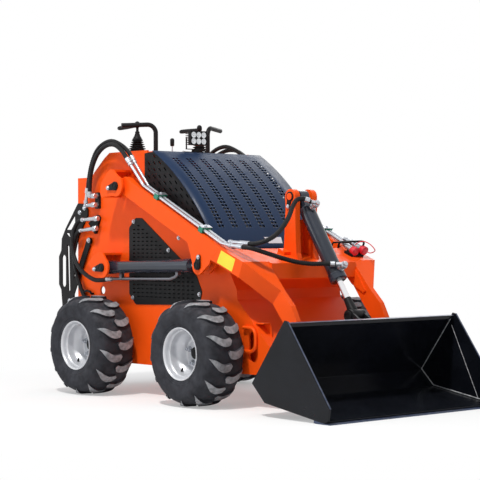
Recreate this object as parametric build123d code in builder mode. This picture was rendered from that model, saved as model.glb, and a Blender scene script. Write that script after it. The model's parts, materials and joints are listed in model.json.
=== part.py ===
"""Compact four-wheeled skid steer loader, worked from behind, with a bucket on two lift arms.

Millimetres. +X is forward, +Y is the machine's left, +Z is up and the ground is Z = 0.
Every X below is measured from the middle of the wheelbase, and AXLE_MID moves the whole
machine so that the origin lies under the middle of its length.
"""
from build123d import *
from math import hypot
import os

os.makedirs("parts", exist_ok=True)

# ---- driving dimensions -------------------------------------------------------------------
AXLE_MID = -264.5          # X of the wheelbase's middle in the part's own frame
WHEELBASE = 890.0
TYRE_OD = 530.0
TYRE_WIDTH = 238.0
OVERALL_WIDTH = 1247.0     # over the tyres
RIM_RADIUS = 132.0         # over the rim's flanges
BUCKET_WIDTH = 1174.0
SIDE_PLATE = 10.0          # thickness of the chassis side plates
SHEET = 3.0                # hood and panels
ARM_WIDTH = 70.0           # lift arm box section, across
ARM_DEPTH = 88.0           # lift arm box section, high
LEG_WIDTH = 30.0           # lower arm plate, across
LEG_OUT = 323.0            # outer face of the lower arm plate
LUG_PLATE = 12.0           # pivot lugs on chassis, mast and quick-attach
PIN_RADIUS = 17.5
PIN_GAP = 0.3              # radial running clearance round every pin
LIFT_BORE = 54.0
LIFT_ROD = 35.0
TILT_BORE = 68.0
TILT_ROD = 32.0
CYLINDER_WALL = 6.0
GLAND = 34.0
PISTON = 26.0
BUCKET_PLATE = 8.0
PANEL = 6.0                # console and rear panel

# ---- clearances ---------------------------------------------------------------------------
TYRE_TO_PLATE = 25.5
HOOD_OVERHANG = 21.0
ARM_TO_HOOD = 9.0
ARM_TO_BRACKET = 18.0
SEAT = 0.3                 # between faces of pieces that lie on one another

# ---- what follows from them ---------------------------------------------------------------
AXLE_Z = TYRE_OD / 2
TYRE_OUT = OVERALL_WIDTH / 2
TYRE_IN = TYRE_OUT - TYRE_WIDTH
PLATE_OUT = TYRE_IN - TYRE_TO_PLATE
PLATE_IN = PLATE_OUT - SIDE_PLATE
HOOD_HALF = PLATE_OUT + HOOD_OVERHANG
ARM_IN = HOOD_HALF + ARM_TO_HOOD
ARM_OUT = ARM_IN + ARM_WIDTH
ARM_MID = (ARM_IN + ARM_OUT) / 2
BRACKET_IN = ARM_OUT + ARM_TO_BRACKET
BRACKET_OUT = BRACKET_IN + LUG_PLATE
LEG_IN = LEG_OUT - LEG_WIDTH
WHEEL_X = WHEELBASE / 2

# ---- pivots, as (x, z) --------------------------------------------------------------------
ARM_PIVOT = (-244.0, 1116.0)
LIFT_BASE = (-370.0, 681.0)
LIFT_EYE = (405.0, 700.0)
BUCKET_PIVOT = (940.0, 255.0)
TILT_BASE = (672.0, 1046.0)
TILT_EYE = (1054.0, 455.0)

# ---- side profiles, as (x, z) -------------------------------------------------------------
BELLY_Z = 165.0
NOSE_X = 828.0
TOWER_FRONT = -135.0
TOWER_TOP = 1307.0
REAR_X = -771.0
DECK_Z = 1177.0                    # flat top behind the console
FRONT_PROFILE = ((505.0, 765.0), (543.0, 652.0), (586.0, 579.0), (592.0, 529.0), (NOSE_X, 307.0))
BEAM_SEAM = (567.0, 792.0)         # where the rear beam meets the front beam, top edge
BEAM_BEND = (746.0, 721.0)         # where the front beam starts to toe in, top edge
KNEE_TOP = (868.0, 581.0)
KNEE_BACK = (811.0, 514.0)
HOOD_ARC = ((-64.0, 1301.0), (183.0, 1122.0), (452.0, 780.0))
BUCKET_BACK = ((953.0, 154.0), (1178.0, 456.0))
BUCKET_HEEL = (1041.0, 68.0)
BUCKET_TIP = (1473.0, 72.0)
BUCKET_CORNER = (1197.0, 452.0)    # side plates' front top corner
BUCKET_RIM = -14.0                 # the rim's rear edge, along the back from its top
BUCKET_TOE = (1463.0, 17.0)

SIDES = (("right", -1), ("left", 1))


def across(y_high):
    """Plane whose sketch reads as (x, z); an extrusion runs towards -Y from y_high."""
    return Plane(origin=(AXLE_MID, y_high, 0), x_dir=(1, 0, 0), z_dir=(0, -1, 0))


def wing(side, inner, outer):
    """The same plane for a slab between two distances from the centre line, on one side."""
    return across(-inner if side < 0 else outer)


def level(z):
    """Plane whose sketch reads as (x, y); an extrusion runs upwards from z."""
    return Plane(origin=(AXLE_MID, 0, z), x_dir=(1, 0, 0), z_dir=(0, 0, 1))


def facing(x):
    """Plane whose sketch reads as (y, z); an extrusion runs forward from x."""
    return Plane(origin=(AXLE_MID + x, 0, 0), x_dir=(0, 1, 0), z_dir=(1, 0, 0))


def between(a, b, share):
    return (a[0] + (b[0] - a[0]) * share, a[1] + (b[1] - a[1]) * share)


def unit(a, b):
    length = hypot(b[0] - a[0], b[1] - a[1])
    return ((b[0] - a[0]) / length, (b[1] - a[1]) / length)


def shift(point, along, distance, up=0.0):
    """point moved by distance along a unit direction, and by up square to it."""
    return (point[0] + along[0] * distance - along[1] * up, point[1] + along[1] * distance + along[0] * up)


def finish(part, node):
    part.label = node
    export_step(part, "parts/" + node + ".step")


# ==== chassis ==============================================================================
GRILLE_OUTLINE = ((-293.0, 540.0), (-293.0, 895.0), (-235.0, 947.0), (-182.0, 946.0),
                  (275.0, 645.0), (320.0, 563.0), (300.0, 495.0), (-235.0, 483.0))
WINDOW_INSET = 26.0
SIDE_HOLE = (-538.0, 553.0)
SIDE_HOLE_RADIUS = 22.0
MOTOR_RADIUS = 78.0
TIE_SLOT = (709.0, 304.0)
TIE_SLOT_SIZE = (64.0, 156.0)
TIE_RING = (645.0, 337.0)

SIDE_OUTLINE = ((REAR_X, 250.0), (REAR_X + 80.0, BELLY_Z), (NOSE_X, BELLY_Z), FRONT_PROFILE[4],
                FRONT_PROFILE[3], FRONT_PROFILE[2], FRONT_PROFILE[1], FRONT_PROFILE[0],
                (HOOD_ARC[2][0], 752.0), (TOWER_FRONT, 1040.0), (TOWER_FRONT, TOWER_TOP),
                (-473.0, TOWER_TOP),
                (-520.0, 1279.0), (-612.0, 1207.0), (-640.0, DECK_Z), (REAR_X, DECK_Z))

for name, side in SIDES:
    with BuildPart() as side_plate:
        with BuildSketch(wing(side, PLATE_IN, PLATE_OUT)):
            with BuildLine():
                Polyline(*SIDE_OUTLINE, close=True)
            make_face()
            with Locations(SIDE_HOLE):
                Circle(SIDE_HOLE_RADIUS, mode=Mode.SUBTRACT)
            with Locations((-WHEEL_X, AXLE_Z), (WHEEL_X, AXLE_Z)):
                Circle(MOTOR_RADIUS + 1.0, mode=Mode.SUBTRACT)
            with Locations(TIE_SLOT):
                SlotOverall(TIE_SLOT_SIZE[1], TIE_SLOT_SIZE[0], rotation=90, mode=Mode.SUBTRACT)
        extrude(amount=SIDE_PLATE)
        with BuildSketch(wing(side, PLATE_IN, PLATE_OUT)):
            with BuildLine():
                Polyline(*GRILLE_OUTLINE, close=True)
            make_face()
            offset(amount=-WINDOW_INSET, kind=Kind.INTERSECTION)
        extrude(amount=SIDE_PLATE, mode=Mode.SUBTRACT)
    finish(side_plate.part, "side_plate_" + name)

# front plate: bent sheet between the side plates, from under the hood to the nose
FRONT_PLATE = 8.0
front_centre = [FRONT_PROFILE[0], FRONT_PROFILE[1], FRONT_PROFILE[2], FRONT_PROFILE[3], FRONT_PROFILE[4],
                (NOSE_X, BELLY_Z + 9.0)]
with BuildPart() as front_plate:
    with BuildSketch(across(PLATE_IN - SEAT)):
        with BuildLine():
            outer = Polyline(*front_centre)
            inner = Polyline(*[(x - FRONT_PLATE * 1.35, z - 1.0) for x, z in front_centre[:-1]],
                             (NOSE_X - FRONT_PLATE, BELLY_Z + 9.0))
            Line(outer @ 0, inner @ 0)
            Line(outer @ 1, inner @ 1)
        make_face()
    extrude(amount=2 * (PLATE_IN - SEAT))
finish(front_plate.part, "front_plate")

BELLY_PLATE = 8.0
with BuildPart() as belly_plate:
    with BuildSketch(level(BELLY_Z)):
        with Locations(((REAR_X + 80 + NOSE_X) / 2, 0)):
            Rectangle(NOSE_X - REAR_X - 80, 2 * (PLATE_IN - SEAT))
    extrude(amount=BELLY_PLATE)
finish(belly_plate.part, "belly_plate")

# rear panel: upright sheet that closes the tower behind, and the flat deck over it
PANEL_TOP = DECK_Z - 1.0
PANEL_FOOT = 252.0
SERVICE_OPENING = (500.0, 300.0)
SERVICE_Z = 550.0
with BuildPart() as rear_panel:
    with BuildSketch(across(PLATE_IN - SEAT)):
        with BuildLine():
            Polyline((REAR_X, PANEL_FOOT), (REAR_X, PANEL_TOP), (-641.0, PANEL_TOP), (-617.0, 1201.0),
                     (-612.0, 1197.0), (-638.0, PANEL_TOP - PANEL), (REAR_X + PANEL, PANEL_TOP - PANEL),
                     (REAR_X + PANEL, PANEL_FOOT), close=True)
        make_face()
    extrude(amount=2 * (PLATE_IN - SEAT))
    with BuildSketch(facing(REAR_X)):
        with Locations((0, SERVICE_Z)):
            RectangleRounded(SERVICE_OPENING[0], SERVICE_OPENING[1], 30)
    extrude(amount=PANEL, mode=Mode.SUBTRACT)
finish(rear_panel.part, "rear_panel")

# console: the sheet top that the controls stand on
CONSOLE_Z = 1300.0
CONSOLE_FRONT = -70.0
CONSOLE_APRON = 1180.0
with BuildPart() as console:
    with BuildSketch(across(PLATE_IN - SEAT)):
        with BuildLine():
            Polyline((CONSOLE_FRONT, CONSOLE_Z), (-470.0, CONSOLE_Z), (-516.0, 1272.0), (-606.0, 1201.0),
                     (-602.0, 1196.0), (-513.0, 1266.0), (-468.0, CONSOLE_Z - PANEL),
                     (CONSOLE_FRONT - PANEL, CONSOLE_Z - PANEL), (CONSOLE_FRONT - PANEL, CONSOLE_APRON),
                     (CONSOLE_FRONT, CONSOLE_APRON), close=True)
        make_face()
    extrude(amount=2 * (PLATE_IN - SEAT))
finish(console.part, "console")

# engine: one plain block on four feet
ENGINE_CENTRE = (90.0, 0.0)
ENGINE_SIZE = (560.0, 420.0, 620.0)
ENGINE_FOOT = 60.0
BELLY_TOP = BELLY_Z + BELLY_PLATE
with BuildPart() as engine_block:
    with BuildSketch(level(BELLY_TOP + ENGINE_FOOT)):
        with Locations(ENGINE_CENTRE):
            Rectangle(ENGINE_SIZE[0], ENGINE_SIZE[1])
    extrude(amount=ENGINE_SIZE[2])
    with BuildSketch(level(BELLY_TOP)):
        with Locations(ENGINE_CENTRE):
            with GridLocations(ENGINE_SIZE[0] - 100, ENGINE_SIZE[1] - 100, 2, 2):
                Rectangle(ENGINE_FOOT, ENGINE_FOOT)
    extrude(amount=ENGINE_FOOT)
finish(engine_block.part, "engine_block")

# lift brackets: on each side an upper box bracket with the arm's pin and a lower one with the cylinder's
# columns: pivot, and from it the wall's corners, from the flange's front edge back and down to the tail
BRACKET_TABLE = ((ARM_PIVOT, ((-27.0, 89.0), (-50.0, 89.0), (-96.0, 54.0), (-129.0, 14.0), (-138.0, -32.0),
                              (-130.0, -58.0))),
                 (LIFT_BASE, ((6.0, 80.0), (-50.0, 80.0), (-96.0, 50.0), (-128.0, 17.0))))
BRACKET_NOSE = 56.0
KEEPER_PLATE = 8.0
KEEPER_RADIUS = 23.0
KEEPER_BOLT = (-57.0, -9.0)
KEEPER_TIP = 12.0


def thick_run(corners, depth):
    """Corners of an open run's other face, depth to its left."""
    ways = [unit(a, b) for a, b in zip(corners, corners[1:])]
    moved = []
    for i, (x, z) in enumerate(corners):
        before, after = ways[max(0, i - 1)], ways[min(i, len(ways) - 1)]
        share = depth / (1 + before[0] * after[0] + before[1] * after[1])
        moved.append((x - (before[1] + after[1]) * share, z + (before[0] + after[0]) * share))
    return moved


with BuildPart() as lift_brackets:
    for name, side in SIDES:
        for (x, z), corners in BRACKET_TABLE:
            wall = [(x + ahead, z + above) for ahead, above in corners]
            with BuildSketch(wing(side, BRACKET_IN, BRACKET_OUT)):
                with BuildLine():
                    Polyline(*wall, (x - 22, z - BRACKET_NOSE + 5), (x + BRACKET_NOSE - 4, z + 20),
                             close=True)
                make_face()
                with Locations((x, z)):
                    Circle(BRACKET_NOSE)
            extrude(amount=LUG_PLATE)
            with BuildSketch(wing(side, PLATE_OUT, BRACKET_OUT)):
                with BuildLine():
                    Polyline(*wall, *thick_run(wall, LUG_PLATE)[::-1], close=True)
                make_face()
            extrude(amount=BRACKET_OUT - PLATE_OUT)
            with BuildSketch(wing(side, PLATE_OUT, BRACKET_OUT + KEEPER_PLATE)):
                with Locations((x, z)):
                    Circle(PIN_RADIUS)
            extrude(amount=BRACKET_OUT + KEEPER_PLATE - PLATE_OUT)
finish(lift_brackets.part, "lift_brackets")


def keeper_sides(pivot, bolt):
    """Corners of the straight-sided stretch between a pin's head and the keeper's bolt."""
    toward = unit(pivot, bolt)
    return (shift(pivot, toward, 4, KEEPER_RADIUS - 1), shift(bolt, toward, 1, KEEPER_TIP),
            shift(bolt, toward, 1, -KEEPER_TIP), shift(pivot, toward, 4, -KEEPER_RADIUS + 1))


# pin keepers: black plates that hold the four bracket pins against the brackets
with BuildPart() as pin_keepers:
    for name, side in SIDES:
        for (x, z), corners in BRACKET_TABLE:
            bolt = (x + KEEPER_BOLT[0], z + KEEPER_BOLT[1])
            with BuildSketch(wing(side, BRACKET_OUT + SEAT, BRACKET_OUT + KEEPER_PLATE)):
                with BuildLine():
                    Polyline(*keeper_sides((x, z), bolt), close=True)
                make_face()
                with Locations((x, z)):
                    Circle(KEEPER_RADIUS)
                with Locations(bolt):
                    Circle(KEEPER_TIP)
                with Locations((x, z)):
                    Circle(PIN_RADIUS + SEAT, mode=Mode.SUBTRACT)
            extrude(amount=KEEPER_PLATE - SEAT)
finish(pin_keepers.part, "pin_keepers")

# side grilles: black sheet over each side window
with BuildPart() as side_grilles:
    for name, side in SIDES:
        with BuildSketch(wing(side, PLATE_OUT, PLATE_OUT + SHEET)):
            with BuildLine():
                Polyline(*GRILLE_OUTLINE, close=True)
            make_face()
            fillet(vertices(), radius=24)
        extrude(amount=SHEET)
finish(side_grilles.part, "side_grilles")

# hood: one curved sheet over the engine
with BuildPart() as hood:
    with BuildSketch(across(HOOD_HALF)):
        with BuildLine():
            top = ThreePointArc(*HOOD_ARC)
            under = ThreePointArc(*[(x - 2.3, z - 2.4) for x, z in HOOD_ARC])
            Line(top @ 0, under @ 0)
            Line(top @ 1, under @ 1)
        make_face()
    extrude(amount=2 * HOOD_HALF)
finish(hood.part, "hood")

# hood sides: slotted sheet between the tower, the side plate and the curved hood
with BuildPart() as hood_sides:
    for name, side in SIDES:
        with BuildSketch(wing(side, PLATE_OUT, PLATE_OUT + SHEET)):
            with BuildLine():
                edge = ThreePointArc(*[(x - 2.5, z - 2.6) for x, z in HOOD_ARC])
                Polyline(edge @ 1, (430.0, 742.0), (TOWER_FRONT - 20, 1018.0), (TOWER_FRONT - 20, 1290.0),
                         edge @ 0)
            make_face()
        extrude(amount=SHEET)
finish(hood_sides.part, "hood_sides")

# wheel motors: hydraulic motor and flange through each side plate, the wheel runs on it
MOTOR_OUT = PLATE_OUT + 74.0
MOTOR_INSIDE = 120.0
MOTOR_FLANGE = (190.0, 14.0)       # square across, thickness
SPINDLE_RADIUS = 30.0
DISC_FACE = PLATE_OUT + 118.0
SPINDLE_OUT = DISC_FACE + 36.0
with BuildPart() as wheel_motors:
    for name, side in SIDES:
        for x in (-WHEEL_X, WHEEL_X):
            with BuildSketch(wing(side, PLATE_IN - MOTOR_INSIDE, MOTOR_OUT)):
                with Locations((x, AXLE_Z)):
                    Circle(MOTOR_RADIUS)
            extrude(amount=MOTOR_OUT - PLATE_IN + MOTOR_INSIDE)
            with BuildSketch(wing(side, PLATE_OUT, PLATE_OUT + MOTOR_FLANGE[1])):
                with Locations((x, AXLE_Z)):
                    Rectangle(MOTOR_FLANGE[0], MOTOR_FLANGE[0])
            extrude(amount=MOTOR_FLANGE[1])
            with BuildSketch(wing(side, MOTOR_OUT, SPINDLE_OUT)):
                with Locations((x, AXLE_Z)):
                    Circle(SPINDLE_RADIUS)
            extrude(amount=SPINDLE_OUT - MOTOR_OUT)
finish(wheel_motors.part, "wheel_motors")

# tie-down rings: a round bar loop that lies on each side plate's nose, across the slot
RING_BAR = 9.0
RING_HALF = 58.0
RING_REACH = 92.0
RING_BEND = 42.0
with BuildPart() as tie_down_rings:
    for name, side in SIDES:
        back, front = AXLE_MID + TIE_RING[0], AXLE_MID + TIE_RING[0] + RING_REACH
        y = side * (PLATE_OUT + SEAT + RING_BAR)
        low, high = TIE_RING[1] - RING_HALF, TIE_RING[1] + RING_HALF
        with BuildLine() as loop:
            FilletPolyline((back, y, high), (front, y, high), (front, y, low), (back, y, low),
                           radius=RING_BEND)
        with BuildSketch(Plane(origin=loop.line @ 0, z_dir=loop.line % 0)):
            Circle(RING_BAR)
        sweep(path=loop.line)
finish(tie_down_rings.part, "tie_down_rings")

# rear loops: bent bars that guide the hoses over each rear wheel
LOOP_BAR = 6.0
LOOP_STAND = 15.0              # bar's middle out from the side plate
LOOP_POINTS = ((-704.0, 523.0), (-692.0, 542.0), (-668.0, 549.0), (-635.0, 543.0), (-625.0, 531.0))
with BuildPart() as rear_loops:
    for name, side in SIDES:
        bar_points = [(AXLE_MID + px, side * (PLATE_OUT + LOOP_STAND), pz) for px, pz in LOOP_POINTS]
        first = (AXLE_MID + LOOP_POINTS[0][0], side * (PLATE_OUT + SEAT), LOOP_POINTS[0][1])
        last = (AXLE_MID + LOOP_POINTS[-1][0], side * (PLATE_OUT + SEAT), LOOP_POINTS[-1][1])
        with BuildLine() as bar:
            FilletPolyline(first, *bar_points, last, radius=6.2)
        with BuildSketch(Plane(origin=bar.line @ 0, z_dir=bar.line % 0)):
            Circle(LOOP_BAR)
        sweep(path=bar.line)
finish(rear_loops.part, "rear_loops")

# hose manifolds: black plates on the side plates with elbow fittings that point rearward
MANIFOLD_PLATE = 14.0
FITTING_OUT = 38.0                 # from the side plate to a fitting's centre line
FITTING_RADIUS = 11.0
STEM_RADIUS = 12.0
MANIFOLD_OUTLINES = (((-591.0, 1002.0), (-553.0, 1002.0), (-553.0, 1092.0), (-591.0, 1092.0)),
                     ((-655.0, 924.0), (-568.0, 969.0), (-547.0, 954.0), (-590.0, 858.0)))
# columns: stem's x, z, fitting's rear end, fitting's front end
FITTING_TABLE = ((-572.0, 1072.0, -680.0, -560.0), (-572.0, 1022.0, -680.0, -560.0),
                 (-580.0, 948.0, -700.0, -522.0), (-598.0, 893.0, -700.0, -540.0))
with BuildPart() as hose_manifolds:
    for name, side in SIDES:
        for corners in MANIFOLD_OUTLINES:
            with BuildSketch(wing(side, PLATE_OUT, PLATE_OUT + MANIFOLD_PLATE)):
                with BuildLine():
                    Polyline(*corners, close=True)
                make_face()
            extrude(amount=MANIFOLD_PLATE)
        for x, z, rear, front in FITTING_TABLE:
            with BuildSketch(wing(side, PLATE_OUT + MANIFOLD_PLATE, PLATE_OUT + FITTING_OUT)):
                with Locations((x, z)):
                    Circle(STEM_RADIUS)
            extrude(amount=FITTING_OUT - MANIFOLD_PLATE)
            with BuildSketch(facing(rear)):
                with Locations((side * (PLATE_OUT + FITTING_OUT), z)):
                    Circle(FITTING_RADIUS)
            extrude(amount=front - rear)
finish(hose_manifolds.part, "hose_manifolds")

# joysticks: ribbed boot, stem, knob and a grip that runs rearward, on each side of the console
JOYSTICK = (-402.0, 222.0)
# columns: height above the console, radius
BOOT_RINGS = ((0.0, 54.0), (14.0, 50.0), (28.0, 45.0), (42.0, 39.0), (56.0, 33.0), (88.0, 13.0))
STEM_FOOT = 80.0
KNOB_RISE = 168.0
KNOB_RADIUS = 15.0
GRIP_RISE = 156.0
GRIP_LENGTH = 175.0
GRIP_RADIUS = 9.5
with BuildPart() as joysticks:
    for name, side in SIDES:
        for (z0, r0), (z1, r1) in zip(BOOT_RINGS, BOOT_RINGS[1:]):
            with BuildSketch(level(CONSOLE_Z + z0)):
                with Locations((JOYSTICK[0], side * JOYSTICK[1])):
                    Circle(r0)
            with BuildSketch(level(CONSOLE_Z + z1)):
                with Locations((JOYSTICK[0], side * JOYSTICK[1])):
                    Circle(r1)
            loft()
        with BuildSketch(level(CONSOLE_Z + STEM_FOOT)):
            with Locations((JOYSTICK[0], side * JOYSTICK[1])):
                Circle(8)
        extrude(amount=KNOB_RISE - STEM_FOOT)
        with Locations((AXLE_MID + JOYSTICK[0], side * JOYSTICK[1], CONSOLE_Z + KNOB_RISE)):
            Sphere(KNOB_RADIUS)
        with BuildSketch(facing(JOYSTICK[0] - GRIP_LENGTH)):
            with Locations((side * JOYSTICK[1], CONSOLE_Z + GRIP_RISE)):
                Circle(GRIP_RADIUS)
        extrude(amount=GRIP_LENGTH)
finish(joysticks.part, "joysticks")

# hand bars: on each side a post with a flange that bends outward and rearward
HAND_BAR = (-285.0, 185.0)
HAND_BAR_END = (-372.0, 353.0)
HAND_BAR_TOP = 160.0
HAND_BAR_RADIUS = 12.5
HAND_BAR_FLANGE = (28.0, 8.0)      # radius, thickness
with BuildPart() as hand_bars:
    for name, side in SIDES:
        with BuildLine() as bar:
            FilletPolyline((AXLE_MID + HAND_BAR[0], side * HAND_BAR[1], CONSOLE_Z + SEAT),
                           (AXLE_MID + HAND_BAR[0], side * HAND_BAR[1], CONSOLE_Z + HAND_BAR_TOP),
                           (AXLE_MID + HAND_BAR_END[0], side * HAND_BAR_END[1],
                            CONSOLE_Z + HAND_BAR_TOP - 8),
                           radius=45)
        with BuildSketch(Plane(origin=bar.line @ 0, z_dir=bar.line % 0)):
            Circle(HAND_BAR_RADIUS)
        sweep(path=bar.line)
        with BuildSketch(level(CONSOLE_Z + SEAT)):
            with Locations((HAND_BAR[0], side * HAND_BAR[1])):
                Circle(HAND_BAR_FLANGE[0])
        extrude(amount=HAND_BAR_FLANGE[1])
finish(hand_bars.part, "hand_bars")

# throttle lever: foot, thin stem and knob; columns: radius, foot above the console, length
THROTTLE = (-335.0, -30.0)
THROTTLE_TABLE = ((11.0, SEAT, 10.0), (5.0, SEAT, 60.0), (12.0, 50.0, 44.0))
with BuildPart() as throttle_lever:
    for radius, foot, long in THROTTLE_TABLE:
        with BuildSketch(level(CONSOLE_Z + foot)):
            with Locations(THROTTLE):
                Circle(radius)
        extrude(amount=long)
finish(throttle_lever.part, "throttle_lever")

# work light: square lamp on a foot at the hood's top edge, LAMP is its lowest corner
LAMP = (-115.0, -122.0, 1338.0)
LAMP_SIZE = (50.0, 122.0, 82.0)
LAMP_FOOT = (46.0, 150.0, 5.0)
LAMP_POST = (24.0, 40.0)
with BuildPart() as work_light:
    with BuildSketch(level(LAMP[2])):
        with Locations((LAMP[0] + LAMP_SIZE[0] / 2, LAMP[1] + LAMP_SIZE[1] / 2)):
            RectangleRounded(LAMP_SIZE[0], LAMP_SIZE[1], 8)
    extrude(amount=LAMP_SIZE[2])
    with BuildSketch(level(CONSOLE_Z + SEAT + LAMP_FOOT[2])):
        with Locations((LAMP[0] + 20, LAMP[1] + LAMP_SIZE[1] / 2)):
            Rectangle(*LAMP_POST)
    extrude(amount=LAMP[2] - CONSOLE_Z - SEAT - LAMP_FOOT[2])
    with BuildSketch(level(CONSOLE_Z + SEAT)):
        with Locations((LAMP[0] + 16, LAMP[1] + LAMP_SIZE[1] / 2 - 10)):
            Rectangle(LAMP_FOOT[0], LAMP_FOOT[1])
    extrude(amount=LAMP_FOOT[2])
finish(work_light.part, "work_light")

# ==== wheels ===============================================================================
BEAD_RADIUS = RIM_RADIUS - 7.0
BEAD_OUT = TYRE_OUT - 15.0
BEAD_IN = TYRE_IN + 15.0
CARCASS = 15.0
RIM_WALL = 6.0
STUD_CIRCLE = 58.0
HUB_BORE = SPINDLE_RADIUS + PIN_GAP
RADIUS = TYRE_OD / 2

WHEELS = (("front_right", WHEEL_X, -1), ("front_left", WHEEL_X, 1),
          ("rear_right", -WHEEL_X, -1), ("rear_left", -WHEEL_X, 1))


def wheel_plane(x, side):
    """Plane through a wheel's axle: sketch x runs out from the centre line, sketch y is the radius."""
    return Plane(origin=(AXLE_MID + x, 0, AXLE_Z), x_dir=(0, side, 0), z_dir=(side, 0, 0))


for name, x, side in WHEELS:
    plane = wheel_plane(x, side)
    axle = Axis((AXLE_MID + x, 0, AXLE_Z), (0, 1, 0))
    crown = (TYRE_IN + TYRE_OUT) / 2
    with BuildPart() as tyre:
        with BuildSketch(plane):
            with BuildLine():
                Polyline((BEAD_IN, BEAD_RADIUS + SEAT), (BEAD_IN, 150), (TYRE_IN, 190), (TYRE_IN, 218),
                         (TYRE_IN + 14, RADIUS - 14), (TYRE_IN + 40, RADIUS - 3), (crown, RADIUS),
                         (TYRE_OUT - 40, RADIUS - 3), (TYRE_OUT - 14, RADIUS - 14), (TYRE_OUT, 218),
                         (TYRE_OUT, 190),
                         (BEAD_OUT, 150), (BEAD_OUT, BEAD_RADIUS + SEAT),
                         (BEAD_OUT - CARCASS, BEAD_RADIUS + SEAT),
                         (BEAD_OUT - CARCASS, 150), (TYRE_OUT - CARCASS, 188), (TYRE_OUT - CARCASS, 216),
                         (TYRE_OUT - 36, RADIUS - 34), (TYRE_IN + 36, RADIUS - 34),
                         (TYRE_IN + CARCASS, 216),
                         (TYRE_IN + CARCASS, 188), (BEAD_IN + CARCASS, 150),
                         (BEAD_IN + CARCASS, BEAD_RADIUS + SEAT),
                         close=True)
            make_face()
        revolve(axis=axle)
    finish(tyre.part, "tyre_" + name)

    with BuildPart() as rim:
        with BuildSketch(plane):
            with BuildLine():
                Polyline((BEAD_IN - 5, BEAD_RADIUS - RIM_WALL), (BEAD_IN - 5, RIM_RADIUS),
                         (BEAD_IN - SEAT, RIM_RADIUS),
                         (BEAD_IN - SEAT, BEAD_RADIUS), (BEAD_OUT + SEAT, BEAD_RADIUS),
                         (BEAD_OUT + SEAT, RIM_RADIUS),
                         (BEAD_OUT + 5, RIM_RADIUS), (BEAD_OUT + 5, BEAD_RADIUS - RIM_WALL),
                         (DISC_FACE + 34, BEAD_RADIUS - RIM_WALL), (DISC_FACE + 8, 96),
                         (DISC_FACE + 8, HUB_BORE),
                         (DISC_FACE, HUB_BORE), (DISC_FACE, 96), (DISC_FACE + 14, BEAD_RADIUS - RIM_WALL),
                         close=True)
            make_face()
        revolve(axis=axle)
        with BuildSketch(wing(side, DISC_FACE + 8, DISC_FACE + 26)):
            with Locations((x, AXLE_Z)):
                with PolarLocations(STUD_CIRCLE, 5):
                    Circle(11)
        extrude(amount=18)
    finish(rim.part, "rim_" + name)

# ==== lift arms ============================================================================
CROSS_BACK = between(BEAM_SEAM, BEAM_BEND, 0.12)
CROSS_FRONT = (772.0, 712.0)
CROSS_LOW = 637.0
rear_dir = unit((-129.0, 1127.0), BEAM_SEAM)
front_dir = unit(BEAM_SEAM, BEAM_BEND)
seam_low = (504.0, 728.0)
bend_depth = ARM_DEPTH * 0.94
bend_low = shift(BEAM_BEND, front_dir, 0, -bend_depth)
beam_top_back = shift(BEAM_SEAM, rear_dir, -860.0)
beam_low_back = shift(beam_top_back, rear_dir, -20.0, -ARM_DEPTH)
PIVOT_BOSS = 44.0
BUCKET_BOSS = 48.0
LUG_RADIUS = 46.0
KNEE_RIB = 8.0
EYE_WIDTH = 40.0
LUG_SIDE = (ARM_WIDTH - EYE_WIDTH - 4) / 2

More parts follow.
